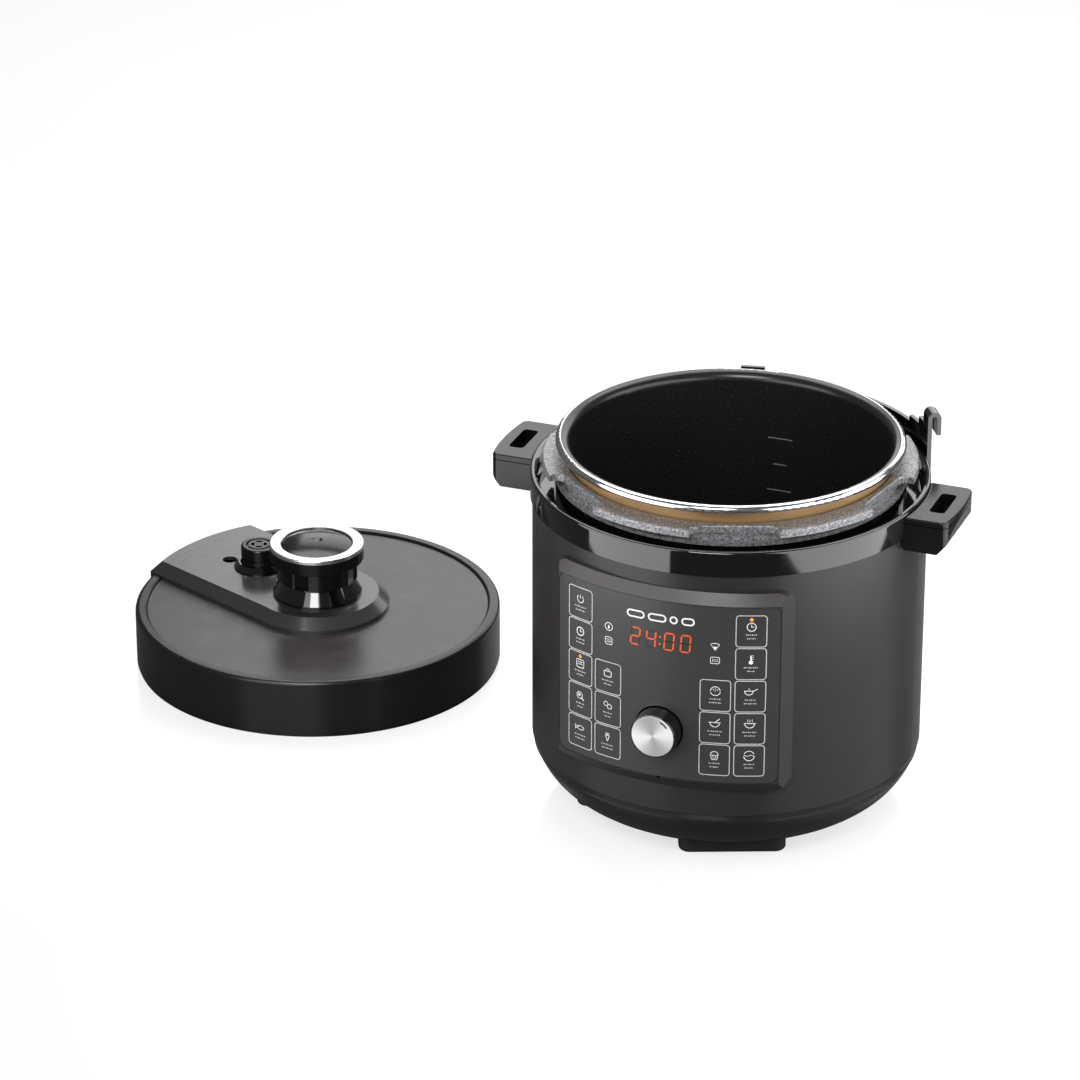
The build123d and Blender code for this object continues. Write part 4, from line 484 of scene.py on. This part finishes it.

# %% [markdown]
# ## Keys printed by Geometry Nodes
#
# Sixteen touch keys stand in four columns, all 24.2 mm apart in height: five in each outer column and
# three in each inner one. Real keys like these are one screen print of a rounded outline. Copying the
# outline by hand sixteen times would be dull and hard to change, so a Geometry Nodes tree does it: it
# lays out the key places as points, puts the outline on each and bends the whole sheet round the
# film's axis.
# Bending is one formula. A point at x along the flat sheet goes to the angle x / R, so the sheet keeps
# its true width on the film.

# %% The tree that prints a mark at every key
key_pitch, key_wide, key_tall = 24.2 * MM, 20.5 * MM, 23.0 * MM
key_line = 0.62 * MM
outer_column, inner_column = 62.0 * MM, 38.6 * MM
lowest_row = 91.4 * MM
lift = 0.12 * MM
print_tree = bpy.data.node_groups.new("print_on_film", "GeometryNodeTree")
for label, kind in (("Mark", "NodeSocketGeometry"), ("Outer column", "NodeSocketFloat"),
                    ("Inner column", "NodeSocketFloat"), ("Pitch", "NodeSocketFloat"),
                    ("Lowest row", "NodeSocketFloat"), ("Outer rows", "NodeSocketInt"),
                    ("Inner rows", "NodeSocketInt"), ("Film radius", "NodeSocketFloat"),
                    ("Film axis", "NodeSocketFloat"), ("Lift", "NodeSocketFloat"),
                    ("Ink", "NodeSocketMaterial")):
    print_tree.interface.new_socket(label, in_out="INPUT", socket_type=kind)
print_tree.interface.new_socket("Print", in_out="OUTPUT", socket_type="NodeSocketGeometry")
given = add(print_tree, "NodeGroupInput").outputs


def key_places(column, rows):
    """Points of one pair of columns: a grid two points wide and so many rows high."""
    wide = add(print_tree, "ShaderNodeMath", {0: given[column], 1: 2.0}, operation="MULTIPLY")
    gaps = add(print_tree, "ShaderNodeMath", {0: given[rows], 1: 1.0}, operation="SUBTRACT")
    tall = add(print_tree, "ShaderNodeMath", {0: gaps.outputs[0], 1: given["Pitch"]},
               operation="MULTIPLY")
    half = add(print_tree, "ShaderNodeMath", {0: tall.outputs[0], 1: 0.5}, operation="MULTIPLY")
    middle = add(print_tree, "ShaderNodeMath", {0: half.outputs[0], 1: given["Lowest row"]},
                 operation="ADD")
    grid = add(print_tree, "GeometryNodeMeshGrid", {"Size X": wide.outputs[0], "Size Y": tall.outputs[0],
                                                    "Vertices X": 2, "Vertices Y": given[rows]})
    centre = add(print_tree, "ShaderNodeCombineXYZ", {"Z": middle.outputs[0]})
    upright = add(print_tree, "GeometryNodeTransform", {"Geometry": grid.outputs["Mesh"],
                                                        "Rotation": (math.pi / 2, 0, 0),
                                                        "Translation": centre.outputs[0]})
    return upright.outputs[0]


joined = add(print_tree, "GeometryNodeJoinGeometry")
for column, rows in (("Outer column", "Outer rows"), ("Inner column", "Inner rows")):
    print_tree.links.new(key_places(column, rows), joined.inputs[0])
stamped = add(print_tree, "GeometryNodeInstanceOnPoints", {"Points": joined.outputs[0],
                                                           "Instance": given["Mark"]})
flat_print = add(print_tree, "GeometryNodeRealizeInstances", {0: stamped.outputs[0]})
point = add(print_tree, "GeometryNodeInputPosition").outputs[0]
spot = add(print_tree, "ShaderNodeSeparateXYZ", {0: point})
angle = add(print_tree, "ShaderNodeMath", {0: spot.outputs["X"], 1: given["Film radius"]},
            operation="DIVIDE")
reach = add(print_tree, "ShaderNodeMath", {0: given["Film radius"], 1: given["Lift"]}, operation="ADD")
sine = add(print_tree, "ShaderNodeMath", {0: angle.outputs[0]}, operation="SINE")
cosine = add(print_tree, "ShaderNodeMath", {0: angle.outputs[0]}, operation="COSINE")
bent_x = add(print_tree, "ShaderNodeMath", {0: reach.outputs[0], 1: sine.outputs[0]},
             operation="MULTIPLY")
back = add(print_tree, "ShaderNodeMath", {0: reach.outputs[0], 1: cosine.outputs[0]},
           operation="MULTIPLY")
bent_y = add(print_tree, "ShaderNodeMath", {0: given["Film axis"], 1: back.outputs[0]},
             operation="SUBTRACT")
bent = add(print_tree, "ShaderNodeCombineXYZ", {"X": bent_x.outputs[0], "Y": bent_y.outputs[0],
                                                "Z": spot.outputs["Z"]})
wrapped = add(print_tree, "GeometryNodeSetPosition", {"Geometry": flat_print.outputs[0],
                                                      "Position": bent.outputs[0]})
inked = add(print_tree, "GeometryNodeSetMaterial", {"Geometry": wrapped.outputs[0],
                                                    "Material": given["Ink"]})
solid_print = add(print_tree, "GeometryNodeRealizeInstances", {0: inked.outputs[0]})
add(print_tree, "NodeGroupOutput", {0: solid_print.outputs[0]})
print("print tree nodes:", len(print_tree.nodes))

# %% [markdown]
# ## Running a tree once
#
# The export keeps plain meshes only, so each tree is run once, its result is copied to a new mesh, and
# the helper object goes. Inputs are set by the socket's identifier, before anything is evaluated.


# %% Run a tree and keep its mesh
def finish_piece(piece, body):
    """Let a finished piece ride on its body."""
    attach(piece, body)
    return piece


def run_tree(tree, source, name, body, slot_name, **inputs):
    """Evaluate a tree on a source object and return the result as a plain piece on a body."""
    worker = source.modifiers.new("nodes", "NODES")
    worker.node_group = tree
    for item in tree.interface.items_tree:
        key = item.name.replace(" ", "_").lower()
        if item.in_out == "INPUT" and key in inputs:
            worker[item.identifier] = inputs[key]
    graph = bpy.context.evaluated_depsgraph_get()
    mesh = bpy.data.meshes.new_from_object(source.evaluated_get(graph))
    mesh.name = name
    bpy.data.objects.remove(source)
    made = bpy.data.objects.new(name, mesh)
    bpy.context.scene.collection.objects.link(made)
    print(name, "faces:", len(mesh.polygons))
    return finish_piece(made, body)


film_settings = {"film_radius": film_radius, "film_axis": film_axis_y, "lift": lift, "ink": ink,
                 "pitch": key_pitch, "outer_column": outer_column, "inner_column": inner_column,
                 "lowest_row": lowest_row, "outer_rows": 5, "inner_rows": 3}


# %% [markdown]
# ## The key outlines
#
# One outline is drawn as a stroke round a rectangle with rounded corners, 20.5 by 23 mm, and the tree
# prints it sixteen times.


# %% Print the outlines
def rounded(wide, tall, corner, steps=6):
    """Points of a rectangle with round corners, in millimetres, closed."""
    x, z = wide / 2 - corner, tall / 2 - corner
    points = []
    for cx, cz, start in ((x, z, 0), (-x, z, 90), (-x, -z, 180), (x, -z, 270)):
        points += arc(cx, cz, corner, start, start + 90, steps)
    return points + points[:1]


outline = bmesh.new()
stroke(outline, rounded(key_wide / MM, key_tall / MM, 2.2), key_line / MM)
run_tree(print_tree, sheet_object("one_outline", outline, ink), "key_outlines", "body", "panel_film",
         **film_settings)

# %% [markdown]
# ## Bending a sheet by hand
#
# The icons differ from key to key, so they are drawn straight on one flat sheet and bent with the same
# formula in Python.


# %% Wrap a drawn sheet on the film
def on_film(name, sheet, material, above=lift):
    """Bend a sheet of marks round the film and let it ride on the body."""
    for vert in sheet.verts:
        turn = vert.co.x / film_radius
        reach_out = film_radius + above
        vert.co = Vector((reach_out * math.sin(turn), film_axis_y - reach_out * math.cos(turn),
                          vert.co.z))
    made = sheet_object(name, sheet, material)
    print(name, "faces:", len(made.data.polygons))
    return finish_piece(made, "body")


# %% [markdown]
# ## Icons
#
# Each key has a small line drawing of a dish or a setting, about 8 mm wide, and under it one or two
# rows of tiny print. The drawings here are plain ones made for this lesson. The tiny print is left as
# rows of short dashes, because it is too small to read and says nothing that the icon doesn't.


# %% Small drawings, in millimetres about their own centre
def power(sheet, at):
    stroke(sheet, arc(0, 0, 2.7, 125, 415), 0.5, at)
    stroke(sheet, [(0, 0.4), (0, 3.2)], 0.5, at)


def clock(sheet, at):
    stroke(sheet, arc(0, 0, 3.0), 0.6, at)
    stroke(sheet, [(0, 1.9), (0, 0), (1.7, 0)], 0.5, at)


def thermometer(sheet, at):
    patch(sheet, arc(0, -1.9, 1.5)[:-1], at)
    stroke(sheet, [(0, -1.5), (0, 3.2)], 1.1, at)
    for level in (0.4, 1.7, 3.0):
        stroke(sheet, [(0.9, level), (1.9, level)], 0.35, at)


def grill(sheet, at):
    stroke(sheet, rounded(6.4, 6.0, 1.0, 3), 0.5, at)
    stroke(sheet, [(-2.3, 1.3), (2.3, 1.3)], 0.4, at)
    for x in (-1.6, 0, 1.6):
        stroke(sheet, arc(x, -0.8, 0.7, 20, 200, 5), 0.4, at)


def pan(sheet, at):
    stroke(sheet, arc(-1.0, 0.8, 2.8, 180, 360), 0.55, at)
    stroke(sheet, [(-4.2, 0.9), (2.2, 0.9), (4.9, 2.4)], 0.55, at)
    stroke(sheet, arc(-1.6, 2.4, 0.8, -60, 60, 5), 0.35, at)


def pot(sheet, at):
    stroke(sheet, [(-2.8, 1.4), (-2.8, -2.0), (-2.0, -2.7), (2.0, -2.7), (2.8, -2.0), (2.8, 1.4),
                   (-2.8, 1.4)], 0.55, at)
    stroke(sheet, [(-1.2, 1.9), (-1.2, 2.9), (1.2, 2.9), (1.2, 1.9)], 0.45, at)


def rice(sheet, at):
    stroke(sheet, arc(0, 0.2, 3.2, 0, 180), 0.5, at)
    stroke(sheet, arc(0, 0.4, 3.5, 195, 345), 0.5, at)
    for x, z in ((-1.4, 1.2), (0, 1.8), (1.3, 1.1), (0, 0.2)):
        patch(sheet, arc(x, z, 0.38, steps=7)[:-1], at)


def meat(sheet, at):
    stroke(sheet, arc(-0.4, 0.2, 2.4), 0.5, at)
    patch(sheet, arc(-0.6, 0.6, 1.0, steps=10)[:-1], at)
    stroke(sheet, [(1.3, -1.5), (3.2, -2.9)], 0.9, at)


def beans(sheet, at):
    stroke(sheet, arc(-1.3, 0.9, 1.6), 0.5, at)
    stroke(sheet, arc(1.5, -0.9, 1.7), 0.5, at)


def bowl(sheet, at):
    stroke(sheet, arc(0, 0.8, 3.3, 180, 360), 0.55, at)
    stroke(sheet, [(-4.0, 0.8), (4.0, 0.8)], 0.5, at)


def soup(sheet, at):
    bowl(sheet, at)
    for x in (-1.5, 0, 1.5):
        stroke(sheet, [(x, 1.7), (x + 0.4, 2.4), (x, 3.1), (x + 0.4, 3.8)], 0.35, at)


def porridge(sheet, at):
    bowl(sheet, at)
    stroke(sheet, [(0.4, 1.2), (3.2, 3.6)], 0.55, at)


def fish(sheet, at):
    stroke(sheet, arc(0.6, -2.3, 3.6, 35, 145), 0.5, at)
    stroke(sheet, arc(0.6, 1.8, 3.6, 215, 325), 0.5, at)
    stroke(sheet, [(-2.3, -0.3), (-4.2, 1.5), (-4.2, -2.0), (-2.3, -0.2)], 0.45, at)


def carrot(sheet, at):
    stroke(sheet, [(-1.6, 1.2), (0, -3.2), (1.6, 1.2), (-1.6, 1.2)], 0.5, at)
    for x in (-1.3, 0, 1.3):
        stroke(sheet, [(x * 0.4, 1.4), (x, 3.2)], 0.45, at)


def cake(sheet, at):
    stroke(sheet, [(-2.4, 0.2), (-1.8, -3.0), (1.8, -3.0), (2.4, 0.2), (-2.4, 0.2)], 0.5, at)
    stroke(sheet, arc(0, 0.6, 2.6, -10, 190), 0.5, at)
    for x in (-0.8, 0.8):
        stroke(sheet, [(x, -0.3), (x * 0.8, -2.6)], 0.35, at)


def cup(sheet, at):
    stroke(sheet, arc(0, 0.6, 3.6, 185, 355), 0.55, at)
    stroke(sheet, arc(0, 0.6, 3.6, 160, 20), 0.45, at)
    stroke(sheet, [(-3.4, 1.0), (-1.2, 0.3), (1.2, 1.2), (3.4, 0.4)], 0.4, at)


print("icon drawings ready")

# %% [markdown]
# ## Print the icons and the tiny rows
#
# The icon stands a little above the middle of its key and the rows of dashes stand below it.

# %% Icons on the keys
outer_icons = {-1: [fish, meat, grill, clock, power], 1: [cup, soup, pan, thermometer, clock]}
inner_icons = {-1: [carrot, beans, pot], 1: [cake, porridge, rice]}
icon_rise, row_drop, row_gap = 3.2, -2.6, 2.7
dash_step, dash_wide, dash_tall = 1.25, 0.8, 1.05


def dashes(sheet, at, count):
    """A row of short upright dashes of uneven height, centred on a point, as tiny print looks."""
    for i in range(count):
        x = (i - (count - 1) / 2) * dash_step
        tall = dash_tall * (0.7 + 0.3 * math.cos(2.4 * i + at[0]))
        patch(sheet, [(x - dash_wide / 2, -tall / 2), (x + dash_wide / 2, -tall / 2),
                      (x + dash_wide / 2, tall / 2), (x - dash_wide / 2, tall / 2)], at)


icons, tiny_rows = bmesh.new(), bmesh.new()
for place_x, sides in ((outer_column, outer_icons), (inner_column, inner_icons)):
    for side, drawings in sides.items():
        for row, drawing in enumerate(drawings):
            x, z = side * place_x / MM, (lowest_row + row * key_pitch) / MM
            drawing(icons, (x, z + icon_rise))
            dashes(tiny_rows, (x, z + row_drop), 5 + (row * 2 + side) % 4)
            dashes(tiny_rows, (x, z + row_drop - row_gap), 4 + (row + side) % 4)
on_film("key_icons", icons, mark_ink)
on_film("key_tiny_rows", tiny_rows, ink)

# %% [markdown]
# ## The display
#
# Behind the film a four-digit light display reads 24:00, with segments 1.1 mm wide that lean a little.
# A segment is one shape, and its seven places in a digit are a rule, so a Geometry Nodes tree would
# work; but which of them are lit is data, so a short loop over a table of segments is clearer. Lit and
# unlit segments are two pieces, because each glows or not as a whole.

# %% Seven-segment digits
digit_wide, digit_tall, segment_wide, lean = 7.4, 13.4, 1.1, 0.07
display_z = 176.2
segment_ends = {"a": ((0, 1), (1, 1)), "b": ((1, 1), (1, 0.5)), "c": ((1, 0.5), (1, 0)),
                "d": ((0, 0), (1, 0)), "e": ((0, 0.5), (0, 0)), "f": ((0, 1), (0, 0.5)),
                "g": ((0, 0.5), (1, 0.5))}
digit_segments = {"2": "abged", "4": "fgbc", "0": "abcdef"}
digit_places = {-17.6: "2", -6.2: "4", 6.6: "0", 18.0: "0"}


def segment(sheet, ends, at):
    """One lit bar with pointed ends, between two corners of a digit."""
    span_x, span_z = digit_wide - segment_wide, digit_tall - segment_wide
    (ax, az), (bx, bz) = [((x - 0.5) * span_x, (z - 0.5) * span_z) for x, z in ends]
    length = math.hypot(bx - ax, bz - az)
    ux, uz = (bx - ax) / length, (bz - az) / length
    half, gap = segment_wide / 2, 0.3
    outline = []
    for along, side in ((gap, 0), (gap + half, 1), (length - gap - half, 1), (length - gap, 0),
                        (length - gap - half, -1), (gap + half, -1)):
        x, z = ax + ux * along - uz * side * half, az + uz * along + ux * side * half
        outline.append((x + lean * z, z))
    patch(sheet, outline, at)


lit_bars, unlit_bars = bmesh.new(), bmesh.new()
for digit_x, digit in digit_places.items():
    for key, ends in segment_ends.items():
        segment(lit_bars if key in digit_segments[digit] else unlit_bars, ends, (digit_x, display_z))
for colon_z in (-2.6, 2.6):
    patch(lit_bars, arc(0.2 + lean * colon_z, colon_z, 0.75, steps=10)[:-1], (0, display_z))
on_film("display_lit", lit_bars, segment_on)
on_film("display_unlit", unlit_bars, segment_off, above=lift / 2)
lamps = bmesh.new()
lamp_rise = 8.6
for lamp_x, lamp_row in ((-outer_column, 2), (outer_column, 4)):
    lamp_z = (lowest_row + lamp_row * key_pitch) / MM + lamp_rise
    patch(lamps, arc(0, 0, 1.25, steps=18)[:-1], (lamp_x / MM, lamp_z))
on_film("key_lamps", lamps, lamp_on)

# %% [markdown]
# ## Indicator marks beside the display
#
# Four small printed signs stand beside the display, and a plain mark stands above it where a maker
# would print a name: a row of three rounded bars with a ring, which means nothing.


# %% Indicators and the plain mark
def flame(sheet, at):
    stroke(sheet, arc(0, 0, 2.9), 0.5, at)
    patch(sheet, [(-0.9, -1.0), (0, -1.8), (0.9, -1.0), (0.2, 1.8)], at)


def waves(sheet, at):
    stroke(sheet, rounded(5.4, 5.4, 1.2, 3), 0.45, at)
    for z in (-1.2, 0.4):
        stroke(sheet, [(-1.8, z), (-0.6, z + 0.9), (0.6, z), (1.8, z + 0.9)], 0.4, at)


def radio(sheet, at):
    patch(sheet, [(0, -2.8), (1.6, -0.4), (0, 0.4), (-1.6, -0.4)], at)
    stroke(sheet, arc(0, -2.6, 5.2, 55, 125, 8), 0.5, at)
    stroke(sheet, [(-2.9, 1.6), (-0.6, -1.6)], 0.4, at)
    stroke(sheet, [(2.9, 1.6), (0.6, -1.6)], 0.4, at)


def keep_warm(sheet, at):
    stroke(sheet, rounded(6.0, 4.8, 0.9, 3), 0.45, at)
    for x in (-1.5, 0, 1.5):
        stroke(sheet, [(x - 0.2, -1.2), (x + 0.3, 0), (x - 0.2, 1.2)], 0.4, at)


indicators = bmesh.new()
for drawing, spot_mm in ((flame, (-38.0, 178.0)), (waves, (-38.0, 167.5)), (radio, (38.0, 176.0)),
                         (keep_warm, (38.0, 166.0))):
    drawing(indicators, spot_mm)
on_film("indicator_marks", indicators, mark_ink)
plain_mark = bmesh.new()
mark_z = 192.6
for bar_x, bar_wide in ((-17.5, 12.0), (-2.0, 12.0), (19.5, 8.0)):
    stroke(plain_mark, rounded(bar_wide, 4.6, 2.2, 6), 1.15, (bar_x, mark_z))
stroke(plain_mark, arc(9.6, 0, 2.3), 1.15, (0, mark_z))
on_film("plain_mark", plain_mark, mark_ink)

# %% [markdown]
# ## The dial's pointer
#
# A short black bar printed near the edge of the spun face shows how far the dial is turned. It follows
# the face's round edge, so it is a stroke along an arc, and it turns with the dial.

# %% Print the pointer
pointer = bmesh.new()
dial_radius = (knob_high.x - knob_low.x) / 2 / MM
stroke(pointer, arc(dial.x / MM, dial.z / MM, dial_radius - 2.2, 38, 66, 10), 1.1)
for vert in pointer.verts:
    vert.co.y = knob_low.y - 0.05 * MM
finish_piece(sheet_object("dial_pointer", pointer, dial_ink), "control_knob")
print("pointer on a face of radius", round(dial_radius, 2), "mm")

# %% [markdown]
# ## Marks on the lid's bridge
#
# Near the end of its tail the bridge carries a thin moulded line, with a closed and an open padlock
# beside its ends, which tell the cook which way to turn. They are shallow marks in the same plastic,
# and the light that their edges catch is painted on: they are drawn as thin pale strokes a hair above
# the bridge, a painted highlight. The drawing is made flat about the lid's centre, with its height
# along the tail, and then turned to the tail's direction.


# %% Padlocks and the line
def on_bridge(name, sheet, material):
    """Lay a sheet of marks on the bridge: its z runs along the tail and its x across it."""
    cosine, sine = math.cos(tail_angle), math.sin(tail_angle)
    for vert in sheet.verts:
        along, across = vert.co.z, vert.co.x
        vert.co = Vector((lid_centre.x + along * cosine + across * sine,
                          lid_centre.y + along * sine - across * cosine, bridge_top + 0.06 * MM))
    for face in sheet.faces:
        face.normal_update()
        if face.normal.z < 0:
            face.normal_flip()
    mesh = bpy.data.meshes.new(name)
    sheet.to_mesh(mesh)
    sheet.free()
    mesh.materials.append(material)
    made = bpy.data.objects.new(name, mesh)
    bpy.context.scene.collection.objects.link(made)
    print(name, "faces:", len(mesh.polygons))
    return finish_piece(made, "lid")


def padlock(sheet, at, opened):
    """A padlock 9 mm tall; the open one has its shackle swung up."""
    stroke(sheet, rounded(6.4, 5.0, 1.0, 4), 0.6, at)
    rise = 2.5 + (1.2 if opened else 0.0)
    stroke(sheet, [(-1.9, 2.5), (-1.9, rise)] + arc(0, rise, 1.9, 180, 0, 10)
           + ([] if opened else [(1.9, 2.5)]), 0.6, at)


line_place, line_half = 121.0, 24.0
lock_out, lock_down = 8.0, 11.0
lid_marks = bmesh.new()
stroke(lid_marks, [(-line_half, line_place), (line_half, line_place)], 0.7)
padlock(lid_marks, (-line_half - lock_out, line_place - lock_down), False)
padlock(lid_marks, (line_half + lock_out, line_place - lock_down), True)
# The marks' pale grey is a painted highlight on the bridge's moulded marks.
on_bridge("lid_turn_marks", lid_marks, lid_mark_painted_highlight)

# %% [markdown]
# ## Level lines in the pot
#
# Inside the pot, short printed lines show how far to fill it. They follow the round wall, 2 cm apart.

# %% Lines on the pot's inner wall
pot_wall, mark_clear = 1.8 * MM, 0.1 * MM
wall_face = pot_wall_radius - pot_wall - mark_clear
first_level, level_step = 48.0, 20.0
levels = bmesh.new()
for step in range(5):
    stroke(levels, [(-9.0, 0), (9.0, 0)] if step % 2 == 0 else [(-5.0, 0), (5.0, 0)], 0.9,
           (0, rim_high.z / MM - first_level - level_step * step))
for vert in levels.verts:
    turn = vert.co.x / wall_face
    vert.co = Vector((wall_face * math.sin(turn), wall_face * math.cos(turn), vert.co.z))
finish_piece(sheet_object("pot_level_lines", levels, pot_mark), "pot")

# %% [markdown]
# ## Floor, light and camera
#
# The cooker stands in a white studio: a big soft light overhead and behind, and two low white cards
# beside it that draw the grey bands along the glossy ring, with a dark gap between them. The floor is a
# white sheet that mirrors the object only faintly. The camera looks down on it from the front right.

# %% Studio floor
floor_material, floor_tree, floor_out = start_material("white_studio_floor")
floor_grain = add(floor_tree, "ShaderNodeTexNoise", {"Vector": place(floor_tree), "Scale": 4.0})
floor_tone = add(floor_tree, "ShaderNodeMix", {"Factor": floor_grain.outputs["Fac"], 6: tint("8e8e8e"),
                                               7: tint("929292")}, data_type="RGBA")
# The sheet glows white to the camera only, so it throws little light at the cooker.
seen = add(floor_tree, "ShaderNodeLightPath").outputs["Is Camera Ray"]
backlight = add(floor_tree, "ShaderNodeMapRange", {"Value": seen, "To Min": 0.03, "To Max": 0.7})
shown = add(floor_tree, "ShaderNodeMix", {"Factor": seen, 6: tint("404040"), 7: floor_tone.outputs[2]},
            data_type="RGBA")
floor_shader = add(floor_tree, "ShaderNodeBsdfPrincipled",
                   {"Base Color": shown.outputs[2], "Roughness": 0.12, "Specular IOR Level": 0.8,
                    "Emission Color": tint("ffffff"), "Emission Strength": backlight.outputs[0]})
floor_tree.links.new(floor_shader.outputs["BSDF"], floor_out.inputs["Surface"])
floor_sheet = bmesh.new()
floor_half = 9.0
floor_sheet.faces.new([floor_sheet.verts.new((x * floor_half, y * floor_half, -0.2 * MM))
                       for x, y in ((-1, -1), (1, -1), (1, 1), (-1, 1))])
floor_mesh = bpy.data.meshes.new("floor")
floor_sheet.to_mesh(floor_mesh)
floor_sheet.free()
floor_mesh.materials.append(floor_material)
floor = bpy.data.objects.new("floor", floor_mesh)
bpy.context.scene.collection.objects.link(floor)


# %% Soft lights
def soft_light(name, at, towards, wide, tall, watts):
    """An area light at a point, in metres, that faces another point."""
    lamp = bpy.data.lights.new(name, "AREA")
    lamp.shape, lamp.size, lamp.size_y, lamp.energy = "RECTANGLE", wide, tall, watts
    holder = bpy.data.objects.new(name, lamp)
    holder.location = at
    holder.rotation_euler = (Vector(towards) - Vector(at)).to_track_quat("-Z", "Y").to_euler()
    holder.visible_camera = False
    bpy.context.scene.collection.objects.link(holder)


soft_light("overhead_box", (-0.3, 1.0, 1.9), (-0.1, 0.0, 0.2), 2.2, 1.3, 38)
soft_light("back_card", (-0.3, 1.7, 0.8), (-0.25, 0.0, 0.1), 1.95, 0.9, 10)
soft_light("front_fill", (0.3, -2.6, 2.6), (-0.1, 0.0, 0.15), 1.2, 1.2, 52)
soft_light("right_card", (0.42, -0.06, 0.27), (0.0, 0.0, 0.16), 0.72, 0.5, 3.4)
soft_light("left_card", (-0.25, -0.36, 0.27), (0.0, 0.0, 0.16), 0.44, 0.5, 2.0)
world = bpy.data.worlds.new("studio")
bpy.context.scene.world = world
world.use_nodes = True
world.node_tree.nodes["Background"].inputs["Color"].default_value = tint("f0f0f0")
world.node_tree.nodes["Background"].inputs["Strength"].default_value = 0.16
bpy.context.scene.view_settings.view_transform = "Standard"

# %% Camera
eye = bpy.data.cameras.new("camera")
eye.lens, eye.sensor_width = 160.0, 36.0
camera = bpy.data.objects.new("camera", eye)
camera.location = (0.9555, -2.8535, 1.5859)
camera.rotation_euler = (math.radians(65.07), 0.0, math.radians(21.0))
bpy.context.scene.collection.objects.link(camera)
bpy.context.scene.camera = camera
